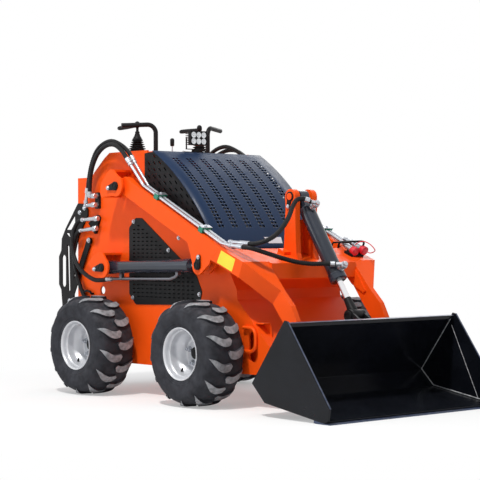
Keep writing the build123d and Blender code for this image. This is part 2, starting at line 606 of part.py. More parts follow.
for name, side in SIDES:
    with BuildPart() as arm:
        # rear beam and front beam up to the bend
        with BuildSketch(wing(side, ARM_IN, ARM_OUT)):
            with BuildLine():
                Polyline(beam_top_back, BEAM_SEAM, BEAM_BEND, bend_low, seam_low, beam_low_back, close=True)
            make_face()
            with Locations(ARM_PIVOT):
                Circle(PIVOT_BOSS)
        extrude(amount=ARM_WIDTH)
        # lug plates that hold the lift cylinder's rod eye
        for near, far in ((ARM_IN, ARM_IN + LUG_SIDE), (ARM_OUT - LUG_SIDE, ARM_OUT)):
            with BuildSketch(wing(side, near, far)):
                with BuildLine():
                    Polyline((532.0, 785.0), (492.0, 707.0), (LIFT_EYE[0] + 29, LIFT_EYE[1] - 35),
                             (LIFT_EYE[0] - LUG_RADIUS + 2, LIFT_EYE[1] + 8), (322.0, 818.0), close=True)
                make_face()
                with Locations(LIFT_EYE):
                    Circle(LUG_RADIUS)
            extrude(amount=LUG_SIDE)
        # toe-in from the bend to the knee
        with BuildSketch(Plane(origin=(AXLE_MID + BEAM_BEND[0], 0, BEAM_BEND[1]), x_dir=(0, 1, 0),
                               z_dir=(front_dir[0], 0, front_dir[1]))):
            with BuildLine():
                Polyline((side * ARM_OUT, 0), (side * LEG_IN, 0), (side * LEG_IN, -bend_depth),
                         (side * ARM_OUT, -bend_depth), close=True)
            make_face()
        knee_dir = unit(KNEE_BACK, KNEE_TOP)
        knee_depth = hypot(KNEE_TOP[0] - KNEE_BACK[0], KNEE_TOP[1] - KNEE_BACK[1])
        with BuildSketch(Plane(origin=(AXLE_MID + KNEE_TOP[0], 0, KNEE_TOP[1]), x_dir=(0, 1, 0),
                               z_dir=(knee_dir[1], 0, -knee_dir[0]))):
            with BuildLine():
                Polyline((side * LEG_OUT, 0), (side * LEG_IN, 0), (side * LEG_IN, -knee_depth),
                         (side * LEG_OUT, -knee_depth), close=True)
            make_face()
        loft()
        # lower arm plate, down to the bucket's pivot
        with BuildSketch(wing(side, LEG_IN, LEG_OUT)):
            with BuildLine():
                Polyline(KNEE_TOP, (941.0, 508.0), (979.0, 436.0), (987.0, 300.0), BUCKET_PIVOT,
                         (895.0, 262.0),
                         (893.0, 415.0), KNEE_BACK, close=True)
            make_face()
            with Locations(BUCKET_PIVOT):
                Circle(BUCKET_BOSS)
        extrude(amount=LEG_WIDTH)
        # rib behind the knee, under the cross member
        with BuildSketch(wing(side, LEG_IN - KNEE_RIB, LEG_IN)):
            with BuildLine():
                Polyline((CROSS_FRONT[0] + SEAT, 674.0), (845.0, 567.0), (832.0, 555.0), (750.0, 598.0),
                         (711.0, CROSS_LOW - SEAT), (CROSS_FRONT[0] + SEAT, CROSS_LOW - SEAT), close=True)
            make_face()
        extrude(amount=KNEE_RIB)
        # bores
        with BuildSketch(wing(side, ARM_IN - 1, ARM_OUT + 1)):
            with Locations(ARM_PIVOT):
                Circle(PIN_RADIUS + PIN_GAP)
        extrude(amount=ARM_WIDTH + 2, mode=Mode.SUBTRACT)
        with BuildSketch(wing(side, LEG_IN - 1, LEG_OUT + 1)):
            with Locations(BUCKET_PIVOT):
                Circle(PIN_RADIUS + PIN_GAP)
        extrude(amount=LEG_WIDTH + 2, mode=Mode.SUBTRACT)
        # pin through the lug plates, short of the rod's eye
        for near, far in ((ARM_IN, ARM_IN + LUG_SIDE), (ARM_OUT - LUG_SIDE, ARM_OUT + KEEPER_PLATE)):
            with BuildSketch(wing(side, near, far)):
                with Locations(LIFT_EYE):
                    Circle(PIN_RADIUS)
            extrude(amount=far - near)
    finish(arm.part, "arm_" + name)

# rod pin keepers: black plates on the arms, over the lift rods' pins
ROD_KEEPER_BOLT = (11.0, 42.0)
with BuildPart() as rod_pin_keepers:
    for name, side in SIDES:
        bolt = (LIFT_EYE[0] + ROD_KEEPER_BOLT[0], LIFT_EYE[1] + ROD_KEEPER_BOLT[1])
        with BuildSketch(wing(side, ARM_OUT + SEAT, ARM_OUT + KEEPER_PLATE)):
            with BuildLine():
                Polyline(*keeper_sides(LIFT_EYE, bolt), close=True)
            make_face()
            with Locations(LIFT_EYE):
                Circle(KEEPER_RADIUS)
            with Locations(bolt):
                Circle(KEEPER_TIP)
            with Locations(LIFT_EYE):
                Circle(PIN_RADIUS + SEAT, mode=Mode.SUBTRACT)
        extrude(amount=KEEPER_PLATE - SEAT)
finish(rod_pin_keepers.part, "rod_pin_keepers")

# cross member: folded box between the arms that carries the mast
with BuildPart() as cross_member:
    with BuildSketch(across(LEG_IN - SEAT)):
        with BuildLine():
            Polyline(CROSS_BACK, BEAM_BEND, CROSS_FRONT, (CROSS_FRONT[0], CROSS_LOW), (700.0, CROSS_LOW),
                     shift(CROSS_BACK, front_dir, 30, -10), shift(CROSS_BACK, front_dir, 0, -10),
                     close=True)
        make_face()
    extrude(amount=2 * (LEG_IN - SEAT))
    for name, side in SIDES:
        with BuildSketch(wing(side, LEG_IN - SEAT, ARM_IN - SEAT)):
            with BuildLine():
                Polyline(CROSS_BACK, BEAM_BEND, shift(BEAM_BEND, front_dir, -1, -60),
                         shift(CROSS_BACK, front_dir, 0, -10), close=True)
            make_face()
        extrude(amount=ARM_IN - LEG_IN)
finish(cross_member.part, "cross_member")

# mast: two box legs and a web that hold the tilt cylinder's upper pin, with a small foot outside each leg
MAST_IN = 43.0
MAST_OUT = 76.0
MAST_HEAD = 38.0
MAST_PIN_OUT = MAST_OUT + 8.0
MAST_FOOT_OUT = 118.0
MAST_FOOT_RISE = 16.0
mast_heel = shift(BEAM_SEAM, front_dir, 61, SEAT)
mast_toe = shift(BEAM_SEAM, front_dir, 172, SEAT)
foot_toe = shift(mast_heel, front_dir, 50)
with BuildPart() as tilt_mast:
    for name, side in SIDES:
        with BuildSketch(wing(side, MAST_IN, MAST_OUT)):
            with BuildLine():
                Polyline(mast_heel, (631.0, 895.0), (638.0, 985.0),
                         (TILT_BASE[0] - MAST_HEAD, TILT_BASE[1]),
                         (TILT_BASE[0] + MAST_HEAD, TILT_BASE[1]), (710.0, 984.0), (710.0, 926.0),
                         (716.0, 760.0),
                         mast_toe, close=True)
            make_face()
            with Locations(TILT_BASE):
                Circle(MAST_HEAD)
        extrude(amount=MAST_OUT - MAST_IN)
        with BuildSketch(wing(side, MAST_OUT, MAST_FOOT_OUT)):
            with BuildLine():
                Polyline(mast_heel, foot_toe, shift(foot_toe, front_dir, 0, MAST_FOOT_RISE),
                         shift(mast_heel, front_dir, 0, MAST_FOOT_RISE), close=True)
            make_face()
        extrude(amount=MAST_FOOT_OUT - MAST_OUT)
    with BuildSketch(across(MAST_PIN_OUT)):
        with Locations(TILT_BASE):
            Circle(PIN_RADIUS)
    extrude(amount=2 * MAST_PIN_OUT)
    with BuildSketch(across(MAST_IN)):
        with BuildLine():
            Polyline(mast_heel, shift(mast_heel, front_dir, 14), (647.0, 930.0), (634.0, 930.0),
                     (631.0, 895.0),
                     close=True)
        make_face()
    extrude(amount=2 * MAST_IN)
finish(tilt_mast.part, "tilt_mast")

# arm tubes: two steel lines along the top of each rear beam, as (x, z) points
TUBE_RADIUS = 8.0
TUBE_SEAT = 8.0
TUBE_RISE = TUBE_SEAT + TUBE_RADIUS
TUBE_SPREAD = 14.0                 # from the beam's middle to a tube
outer_bend = shift(BEAM_SEAM, rear_dir, -709, TUBE_RISE)
inner_bend = shift(BEAM_SEAM, rear_dir, -701, TUBE_RISE)
OUTER_TUBE = ((-184.0, 1235.0), (-154.0, 1205.0), outer_bend, shift(BEAM_SEAM, rear_dir, -10, TUBE_RISE),
              (636.0, 799.0))
INNER_TUBE = ((-183.0, 1246.0), (-155.0, 1216.0), inner_bend, shift(BEAM_SEAM, rear_dir, -2, TUBE_RISE),
              (604.0, 816.0))
with BuildPart() as arm_tubes:
    for name, side in SIDES:
        for y, points in ((ARM_MID + TUBE_SPREAD, OUTER_TUBE), (ARM_MID - TUBE_SPREAD, INNER_TUBE)):
            with BuildLine() as run:
                FilletPolyline(*[(AXLE_MID + px, side * y, pz) for px, pz in points], radius=24)
            with BuildSketch(Plane(origin=run.line @ 0, z_dir=run.line % 0)):
                Circle(TUBE_RADIUS)
            sweep(path=run.line)
finish(arm_tubes.part, "arm_tubes")

# tube clamps: plastic blocks that hold the steel lines to the beams
CLAMP_BACKS = (573.0, 173.0)       # from the seam, along the beam
CLAMP_SIZE = (32.0, 60.0)
CLAMP_CAP = 6.0
with BuildPart() as tube_clamps:
    for name, side in SIDES:
        for back in CLAMP_BACKS:
            spot = shift(BEAM_SEAM, rear_dir, -back, SEAT)
            with BuildSketch(Plane(origin=(AXLE_MID + spot[0], side * ARM_MID, spot[1]),
                                   x_dir=(rear_dir[0], 0, rear_dir[1]),
                                   z_dir=(-rear_dir[1], 0, rear_dir[0]))):
                Rectangle(*CLAMP_SIZE)
            extrude(amount=TUBE_SEAT + 2 * TUBE_RADIUS + CLAMP_CAP)
            for y in (-TUBE_SPREAD, TUBE_SPREAD):
                centre = shift(spot, rear_dir, -CLAMP_SIZE[0], TUBE_RISE - SEAT)
                with BuildSketch(Plane(origin=(AXLE_MID + centre[0], side * ARM_MID + y, centre[1]),
                                       x_dir=(0, 1, 0), z_dir=(rear_dir[0], 0, rear_dir[1]))):
                    Circle(TUBE_RADIUS + SEAT)
                extrude(amount=2 * CLAMP_SIZE[0], mode=Mode.SUBTRACT)
finish(tube_clamps.part, "tube_clamps")

# quick couplers: two hydraulic outlets with caps on one block, where the left arm meets the cross member
# columns: distance out from the arm's inner face, rear end, front end
COUPLER_TABLE = ((-38.0, (627.0, 805.0), (715.0, 762.0)), (8.0, (648.0, 808.0), (735.0, 768.0)))
COUPLER_RADIUS = 17.0
COUPLER_CAP = (24.0, 26.0)         # radius, length
COUPLER_BLOCK = (60.0, 96.0, 30.0)
with BuildPart() as quick_couplers:
    spot = shift(BEAM_SEAM, front_dir, 118, SEAT)
    middle = ARM_IN + (COUPLER_TABLE[0][0] + COUPLER_TABLE[1][0]) / 2
    with BuildSketch(Plane(origin=(AXLE_MID + spot[0], middle, spot[1]),
                           x_dir=(front_dir[0], 0, front_dir[1]), z_dir=(-front_dir[1], 0, front_dir[0]))):
        Rectangle(COUPLER_BLOCK[0], COUPLER_BLOCK[1])
    extrude(amount=COUPLER_BLOCK[2])
    for out, rear, front in COUPLER_TABLE:
        run = unit(rear, front)
        long = hypot(front[0] - rear[0], front[1] - rear[1])
        start = Plane(origin=(AXLE_MID + rear[0], ARM_IN + out, rear[1]), x_dir=(0, 1, 0),
                      z_dir=(run[0], 0, run[1]))
        with BuildSketch(start):
            Circle(COUPLER_RADIUS)
        extrude(amount=long)
        with BuildSketch(start.offset(long - COUPLER_CAP[1])):
            Circle(COUPLER_CAP[0])
        extrude(amount=COUPLER_CAP[1])
finish(quick_couplers.part, "quick_couplers")

# ==== cylinders ============================================================================
# a cylinder lies along +X of its own plane, from the barrel's eye to the rod's eye


def along(base, eye, y):
    """Plane at a cylinder's base pin, facing along the cylinder."""
    d = unit(base, eye)
    return Plane(origin=(AXLE_MID + base[0], y, base[1]), x_dir=(0, 1, 0), z_dir=(d[0], 0, d[1]))


def pin_plane(pivot, y, width):
    """Plane across a pin; an extrusion by width runs from y + width / 2 down to y - width / 2."""
    return Plane(origin=(AXLE_MID + pivot[0], y + width / 2, pivot[1]), x_dir=(1, 0, 0), z_dir=(0, -1, 0))


def build_barrel(node, base, eye, y, bore, rod, start, length, eye_width, eye_radius):
    """Barrel from start to length along the cylinder, with a neck and an eye on the base pin."""
    plane = along(base, eye, y)
    outer = bore / 2 + CYLINDER_WALL
    floor = start + BARREL_END
    with BuildPart() as barrel:
        with BuildSketch(plane.offset(start)):
            Circle(outer)
        extrude(amount=length - start)
        with BuildSketch(plane.offset(length - GLAND - CYLINDER_WALL)):
            Circle(outer + GLAND_LIP)
        extrude(amount=GLAND + CYLINDER_WALL)
        with BuildSketch(plane):
            Rectangle(eye_width - 2, 2 * eye_radius - 8)
        extrude(amount=start + 1)
        with BuildSketch(pin_plane(base, y, eye_width)):
            Circle(eye_radius)
        extrude(amount=eye_width)
        with BuildSketch(plane.offset(floor)):
            Circle(bore / 2)
        extrude(amount=length - floor - GLAND, mode=Mode.SUBTRACT)
        with BuildSketch(plane.offset(floor)):
            Circle(rod / 2 + SEAT)
        extrude(amount=length, mode=Mode.SUBTRACT)
        with BuildSketch(pin_plane(base, y, 2 * eye_width)):
            Circle(PIN_RADIUS + PIN_GAP)
        extrude(amount=2 * eye_width, mode=Mode.SUBTRACT)
    finish(barrel.part, node)


def build_rod(node, base, eye, y, bore, rod, start, eye_width, eye_radius):
    """Rod with its piston's rear face at start, and an eye on the far pin."""
    plane = along(base, eye, y)
    reach = hypot(eye[0] - base[0], eye[1] - base[1])
    with BuildPart() as ram:
        with BuildSketch(plane.offset(start)):
            Circle(rod / 2)
        extrude(amount=reach - start)
        with BuildSketch(plane.offset(start)):
            Circle(bore / 2 - SEAT)
        extrude(amount=PISTON)
        with BuildSketch(pin_plane(eye, y, eye_width)):
            Circle(eye_radius)
        extrude(amount=eye_width)
        with BuildSketch(pin_plane(eye, y, 2 * eye_width)):
            Circle(PIN_RADIUS)
        extrude(amount=2 * eye_width, mode=Mode.SUBTRACT)
    finish(ram.part, node)


BARREL_END = 12.0                  # solid floor of a barrel
GLAND_LIP = 3.0
LIFT_EYE_RADIUS = 36.0
LIFT_EYE_WIDTH = 56.0
LIFT_START = 32.0
LIFT_LENGTH = 684.0
LIFT_PISTON = 70.0
TILT_EYE_RADIUS = 32.0
TILT_EYE_WIDTH = 56.0
TILT_START = 73.0
TILT_LENGTH = 499.0
TILT_PISTON = 172.0
ROD_EYE_RADIUS = 30.0
for name, side in SIDES:
    build_barrel("lift_barrel_" + name, LIFT_BASE, LIFT_EYE, side * ARM_MID, LIFT_BORE, LIFT_ROD,
                 LIFT_START, LIFT_LENGTH, LIFT_EYE_WIDTH, LIFT_EYE_RADIUS)
    build_rod("lift_rod_" + name, LIFT_BASE, LIFT_EYE, side * ARM_MID, LIFT_BORE, LIFT_ROD,
              LIFT_PISTON, EYE_WIDTH, ROD_EYE_RADIUS)
build_barrel("tilt_barrel", TILT_BASE, TILT_EYE, 0.0, TILT_BORE, TILT_ROD,
             TILT_START, TILT_LENGTH, TILT_EYE_WIDTH, TILT_EYE_RADIUS)
build_rod("tilt_rod", TILT_BASE, TILT_EYE, 0.0, TILT_BORE, TILT_ROD,
          TILT_PISTON, TILT_EYE_WIDTH, ROD_EYE_RADIUS)

# lift feeds: the steel line under each lift barrel, from behind the pin to the port at the gland
# columns: x, drop under the barrel at its base pin
FEED_POINTS = ((-403.0, 31.0), (-362.0, 28.0), (137.0, 21.0), (180.0, 10.0), (203.0, -6.0))
CLIP_WIDTH = 20.0
# columns: x, foot's drop
FEED_CLIPS = ((-276.0, 28.0), (202.0, 2.0))
lift_run = unit(LIFT_BASE, LIFT_EYE)
barrel_under = LIFT_BORE / 2 + CYLINDER_WALL + SEAT
feed_level = LIFT_BASE[1] - LIFT_BORE / 2 - CYLINDER_WALL
for name, side in SIDES:
    with BuildPart() as lift_feed:
        with BuildLine() as run:
            FilletPolyline(*[(AXLE_MID + px, side * ARM_MID, feed_level - drop) for px, drop in FEED_POINTS],
                           radius=16)
        with BuildSketch(Plane(origin=run.line @ 0, z_dir=run.line % 0)):
            Circle(TUBE_RADIUS)
        sweep(path=run.line)
        for x, drop in FEED_CLIPS:
            foot = feed_level - drop
            top = LIFT_BASE[1] + (x - LIFT_BASE[0]) * lift_run[1] / lift_run[0] - barrel_under
            with BuildSketch(wing(side, ARM_MID - CLIP_WIDTH / 2, ARM_MID + CLIP_WIDTH / 2)):
                with Locations((x, (foot + top) / 2)):
                    Rectangle(CLIP_WIDTH, top - foot)
            extrude(amount=CLIP_WIDTH)
    finish(lift_feed.part, "lift_feed_" + name)

# ==== bucket ===============================================================================
HALF_BUCKET = BUCKET_WIDTH / 2
back_dir = unit(BUCKET_BACK[0], BUCKET_BACK[1])
rim = shift(BUCKET_BACK[1], back_dir, BUCKET_RIM)
with BuildPart() as bucket:
    with BuildSketch(across(HALF_BUCKET)):
        with BuildLine():
            Polyline(rim, BUCKET_BACK[0], BUCKET_HEEL, (1440.0, 4.5), (1441.0, 12.5),
                     (1044.0, 76.5), (963.0, 155.0),
                     shift(rim, (back_dir[1], -back_dir[0]), BUCKET_PLATE, 0),
                     close=True)
        make_face()
    extrude(amount=BUCKET_WIDTH)
    for name, side in SIDES:
        with BuildSketch(wing(side, HALF_BUCKET - 10, HALF_BUCKET)):
            with BuildLine():
                Polyline(BUCKET_BACK[1], BUCKET_BACK[0], BUCKET_HEEL, (1440.0, 4.5), BUCKET_TOE, BUCKET_TIP,
                         BUCKET_CORNER, close=True)
            make_face()
        extrude(amount=10)
    with BuildSketch(across(HALF_BUCKET)):
        with BuildLine():
            Polyline(rim, (1191.0, 441.0), (1189.0, 425.0), shift(rim, back_dir, -20), close=True)
        make_face()
    extrude(amount=BUCKET_WIDTH)
finish(bucket.part, "bucket")

with BuildPart() as cutting_edge:
    with BuildSketch(across(HALF_BUCKET)):
        with BuildLine():
            Polyline((1370.0, 2.5), (1372.0, 15.0 - 0.3), (1440.0, 4.2), (1475.0, 4.2), (1477.0, 0.0),
                     (1390.0, 0.0),
                     close=True)
        make_face()
    extrude(amount=BUCKET_WIDTH)
finish(cutting_edge.part, "cutting_edge")

# quick-attach: plate behind the bucket with lugs for the two arms and the tilt rod
ATTACH_PLATE = 12.0
ATTACH_HALF = 385.0
with BuildPart() as quick_attach:
    with BuildSketch(across(ATTACH_HALF)):
        with BuildLine():
            low = shift(BUCKET_BACK[0], back_dir, 40, SEAT)
            high = shift(BUCKET_BACK[0], back_dir, 340, SEAT)
            Polyline(low, high, shift(high, back_dir, 0, ATTACH_PLATE),
                     shift(low, back_dir, 0, ATTACH_PLATE), close=True)
        make_face()
    extrude(amount=2 * ATTACH_HALF)
    for name, side in SIDES:
        for near, far in ((LEG_IN - 4 - 14, LEG_IN - 4), (LEG_OUT + 4, LEG_OUT + 4 + 14)):
            with BuildSketch(wing(side, near, far)):
                with BuildLine():
                    Polyline(shift(BUCKET_BACK[0], back_dir, 44, 6),
                             shift(BUCKET_BACK[0], back_dir, 150, 6),
                             shift(BUCKET_PIVOT, back_dir, 36, 14), shift(BUCKET_PIVOT, back_dir, 0, 40),
                             shift(BUCKET_PIVOT, back_dir, -36, 10), close=True)
                make_face()
                with Locations(BUCKET_PIVOT):
                    Circle(40)
            extrude(amount=14)
        with BuildSketch(wing(side, LEG_IN - 24, LEG_OUT + 24)):
            with Locations(BUCKET_PIVOT):
                Circle(PIN_RADIUS)
        extrude(amount=LEG_WIDTH + 48)
        with BuildSketch(wing(side, 32, 46)):
            with BuildLine():
                Polyline(shift(BUCKET_BACK[0], back_dir, 200, 6), shift(BUCKET_BACK[0], back_dir, 335, 6),
                         shift(TILT_EYE, back_dir, 26, 18), shift(TILT_EYE, back_dir, -26, 18), close=True)
            make_face()
            with Locations(TILT_EYE):
                Circle(32)
        extrude(amount=14)
finish(quick_attach.part, "quick_attach")

# ==== rear guard ===========================================================================
# slotted side plates bolted outside the chassis, braced by a strut each, with a step between them
GUARD_PLATE = 8.0
GUARD_IN = PLATE_OUT + SEAT
GUARD_OUT = GUARD_IN + GUARD_PLATE
STRUT_PLATE = 6.0
STRUT_HALF = 20.0
STRUT_ENDS = ((-649.0, 824.0), (-834.0, 488.0))
STEP_Z = 300.0
GUARD_OUTLINE = ((-762.0, 1035.0), (-697.0, 1031.0), (-668.0, 1001.0), (-668.0, 966.0), (-758.0, 852.0),
                 (-802.0, 732.0), (-803.0, STEP_Z - 10), (-916.0, STEP_Z - 10), (-916.0, 467.0),
                 (-926.0, 548.0),
                 (-948.0, 578.0), (-948.0, 736.0), (-925.0, 771.0), (-920.0, 838.0), (-880.0, 898.0))
GUARD_WINDOWS = (((-790.0, 974.0), (-876.0, 889.0), (-826.0, 888.0), (-788.0, 928.0)),
                 ((-880.0, 869.0), (-845.0, 868.0), (-832.0, 835.0)),
                 ((-868.0, 807.0), (-846.0, 792.0), (-838.0, 545.0), (-857.0, 544.0)))
with BuildPart() as rear_guard:
    for name, side in SIDES:
        with BuildSketch(wing(side, GUARD_IN, GUARD_OUT)):
            with BuildLine():
                Polyline(*GUARD_OUTLINE, close=True)
            make_face()
            for corners in GUARD_WINDOWS:
                with BuildLine():
                    Polyline(*corners, close=True)
                make_face(mode=Mode.SUBTRACT)
            with Locations((-899.0, 655.0)):
                SlotOverall(182, 40, rotation=90, mode=Mode.SUBTRACT)
        extrude(amount=GUARD_PLATE)
    with BuildSketch(across(GUARD_IN)):
        with Locations((-869.0, 493.0)):
            Circle(13)
    extrude(amount=2 * GUARD_IN)
finish(rear_guard.part, "rear_guard")

with BuildPart() as guard_struts:
    for name, side in SIDES:
        strut_dir = unit(*STRUT_ENDS)
        with BuildSketch(wing(side, GUARD_OUT + SEAT, GUARD_OUT + SEAT + STRUT_PLATE)):
            for end in STRUT_ENDS:
                with Locations(end):
                    Circle(STRUT_HALF)
            with BuildLine():
                Polyline(shift(STRUT_ENDS[0], strut_dir, 0, STRUT_HALF),
                         shift(STRUT_ENDS[1], strut_dir, 0, STRUT_HALF),
                         shift(STRUT_ENDS[1], strut_dir, 0, -STRUT_HALF),
                         shift(STRUT_ENDS[0], strut_dir, 0, -STRUT_HALF), close=True)
            make_face()
        extrude(amount=STRUT_PLATE)
        with BuildSketch(wing(side, GUARD_IN, GUARD_OUT + SEAT)):
            with Locations(STRUT_ENDS[0]):
                Circle(15)
        extrude(amount=GUARD_OUT + SEAT - GUARD_IN)
finish(guard_struts.part, "guard_struts")

# step: the operator stands on it, between the guard's plates
with BuildPart() as rear_step:
    with BuildSketch(across(GUARD_IN - SEAT)):
        with BuildLine():
            Polyline((REAR_X - SEAT, STEP_Z), (-916.0, STEP_Z), (-916.0, STEP_Z - 34),
                     (-911.0, STEP_Z - 34),
                     (-911.0, STEP_Z - 5), (REAR_X - SEAT, STEP_Z - 5), close=True)
        make_face()
    extrude(amount=2 * (GUARD_IN - SEAT))
finish(rear_step.part, "rear_step")
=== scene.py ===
"""Looks of a compact skid steer loader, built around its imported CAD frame. Metres, +X forward, +Z up."""

import json
import math
import random

import bmesh
import bpy
from mathutils import Matrix, Vector


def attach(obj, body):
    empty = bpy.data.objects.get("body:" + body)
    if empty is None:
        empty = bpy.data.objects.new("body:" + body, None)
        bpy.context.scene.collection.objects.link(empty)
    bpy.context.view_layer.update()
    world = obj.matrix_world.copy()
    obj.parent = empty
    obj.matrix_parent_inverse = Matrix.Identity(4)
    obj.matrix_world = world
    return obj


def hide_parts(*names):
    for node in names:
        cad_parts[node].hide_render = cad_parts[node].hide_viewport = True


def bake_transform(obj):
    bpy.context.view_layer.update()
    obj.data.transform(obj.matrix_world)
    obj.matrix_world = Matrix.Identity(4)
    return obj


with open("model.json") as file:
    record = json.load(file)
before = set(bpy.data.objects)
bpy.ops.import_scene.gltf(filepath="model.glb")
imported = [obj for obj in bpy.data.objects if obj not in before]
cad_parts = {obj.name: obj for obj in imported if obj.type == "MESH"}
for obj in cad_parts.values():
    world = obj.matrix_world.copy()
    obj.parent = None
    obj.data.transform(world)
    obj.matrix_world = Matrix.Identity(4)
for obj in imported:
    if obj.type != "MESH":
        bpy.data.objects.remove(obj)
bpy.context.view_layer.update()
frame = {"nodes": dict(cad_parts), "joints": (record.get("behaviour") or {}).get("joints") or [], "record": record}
random.seed(7)

# ---- places read from the frame ----
JOINTS = {joint["name"]: joint for joint in frame["joints"]}


def pivot(name):
    return Vector(JOINTS[name]["pos_m"])


MID_X = (pivot("wheel_front_right_spin").x + pivot("wheel_rear_right_spin").x) / 2
SIDES = (("right", -1), ("left", 1))
FORWARD, UP = Vector((1, 0, 0)), Vector((0, 0, 1))


def mm(x, y, z):
    """A place given in millimetres, with x measured from the middle of the wheelbase."""
    return Vector((MID_X + x / 1000, y / 1000, z / 1000))


# ---- materials ----
class Graph:
    """Shader nodes of one material or of the world."""

    def __init__(self, tree):
        self.nodes, self.links = tree.nodes, tree.links

    def fill(self, node, inputs):
        """Set a node's inputs to values, or join them to sockets."""
        for key, value in inputs.items():
            if isinstance(value, bpy.types.NodeSocket):
                self.links.new(value, node.inputs[key])
            else:
                node.inputs[key].default_value = value

    def node(self, kind, inputs=(), output=0, **settings):
        """Make a node and give back one of its outputs."""
        made = self.nodes.new("ShaderNode" + kind)
        for key, value in settings.items():
            setattr(made, key, value)
        self.fill(made, dict(inputs))
        return made.outputs[output]

    def noise(self, scale, detail=4.0):
        """Noise on object coordinates, which ride with the piece."""
        where = self.node("TexCoord", output="Object")
        return self.node("TexNoise", {"Vector": where, "Scale": scale, "Detail": detail}, "Fac")

    def ranged(self, source, low, high, from_low=0.35, from_high=0.65):
        return self.node("MapRange", {"Value": source, "From Min": from_low, "From Max": from_high,
                                      "To Min": low, "To Max": high}, "Result")

    def mixed(self, factor, first, second):
        """Mix of two colours, each a tuple or a socket."""
        first, second = ((*c, 1.0) if isinstance(c, tuple) else c for c in (first, second))
        return self.node("Mix", {"Factor": factor, 6: first, 7: second}, 2, data_type="RGBA")

    def maths(self, operation, first, second):
        return self.node("Math", {0: first, 1: second}, operation=operation)

    def shown(self, factor, first, second, output):
        """Send a mix of two shaders to the tree's output."""
        mix = self.node("MixShader", {0: factor, 1: first, 2: second})
        self.links.new(mix, self.nodes[output].inputs["Surface"])

    def seen_directly(self):
        """One for rays that show the background itself: camera, mirror and see-through rays."""
        path = self.nodes.new("ShaderNodeLightPath").outputs
        return self.maths("MAXIMUM", self.maths("MAXIMUM", path["Is Camera Ray"], path["Is Glossy Ray"]),
                          path["Is Transmission Ray"])


FINISHES = {}  # by the name of the record's material slot


def new_material(name):
    material = bpy.data.materials.new(name)
    material.use_nodes = True
    return material, Graph(material.node_tree)


def finish(name, colour, rough, metallic=0.0, coat=0.0, mottle=0.05, mottle_scale=6.0, rough_range=0.05,
           bump_scale=700.0, bump=0.02, dust=None, dust_amount=0.0, edge=0.0, specular=0.5):
    """A finish with cloudy colour, uneven gloss and fine relief; dust lies on what faces up."""
    material, graph = new_material(name)
    dark, light = (tuple(min(1.0, c * share) for c in colour) for share in (1 - mottle, 1 + mottle))
    tone = graph.mixed(graph.ranged(graph.noise(mottle_scale), 0.0, 1.0), dark, light)
    if dust is not None:
        up = graph.node("SeparateXYZ", {"Vector": graph.node("NewGeometry", output="Normal")}, "Z")
        patches = graph.ranged(graph.noise(34.0, 8.0), 0.0, dust_amount)
        share = graph.maths("MULTIPLY", graph.ranged(up, 0.25, 1.0, 0.0, 0.9), patches)
        tone = graph.mixed(share, tone, dust)
    relief = {"Strength": bump, "Distance": 0.001, "Height": graph.noise(bump_scale, 2.0)}
    if edge > 0:
        relief["Normal"] = graph.node("Bevel", {"Radius": edge}, samples=4)
    graph.fill(graph.nodes["Principled BSDF"], {
        "Metallic": metallic, "Coat Weight": coat, "Coat Roughness": 0.12, "Specular IOR Level": specular,
        "Base Color": tone, "Normal": graph.node("Bump", relief),
        "Roughness": graph.ranged(graph.noise(23.0), rough - rough_range, rough + rough_range)})
    FINISHES[name] = material
    return material


ORANGE = finish("orange_paint", (0.92, 0.092, 0.006), 0.36, coat=0.02, mottle=0.03, edge=0.002,
                bump=0.03, specular=0.12)
BLACK = finish("black_paint", (0.010, 0.010, 0.011), 0.45, mottle=0.2, edge=0.001, bump=0.06,
               dust=(0.16, 0.15, 0.15), dust_amount=0.04, specular=0.12)
# hood: dark paint whose blue colour is partly painted sky reflection
HOOD_PAINT_AND_SKY_REFLECTION = finish("hood_paint", (0.014, 0.030, 0.072), 0.36, mottle=0.04, bump=0.02, specular=0.10)
BUCKET = finish("bucket_paint", (0.005, 0.006, 0.009), 0.22, mottle=0.25, mottle_scale=5.0,
                edge=0.003, bump=0.01, bump_scale=120.0, dust=(0.10, 0.10, 0.11),
                dust_amount=0.03, specular=0.20)
# bucket edges: dark base whose blue is painted sky reflection, with dust on what faces up
EDGE_SKY_REFLECTION_AND_DUST = finish("bucket_edge_sky_reflection_and_dust", (0.012, 0.030, 0.085), 0.35, mottle=0.2, edge=0.002,
                    bump=0.06, dust=(0.40, 0.40, 0.42), dust_amount=0.25)
RIM = finish("rim_paint", (0.60, 0.61, 0.64), 0.36, metallic=0.35, coat=0.2, mottle=0.04, bump=0.03)
RUBBER = finish("tyre_rubber", (0.026, 0.027, 0.033), 0.72, mottle=0.3, mottle_scale=16.0,
                bump_scale=300.0, bump=0.30, dust=(0.15, 0.15, 0.17), dust_amount=0.25, specular=0.15)
TREAD = finish("tread_rubber", (0.235, 0.240, 0.255), 0.75, mottle=0.35, mottle_scale=40.0,
               bump_scale=300.0, bump=0.40, dust=(0.42, 0.43, 0.45), dust_amount=0.40, specular=0.15)
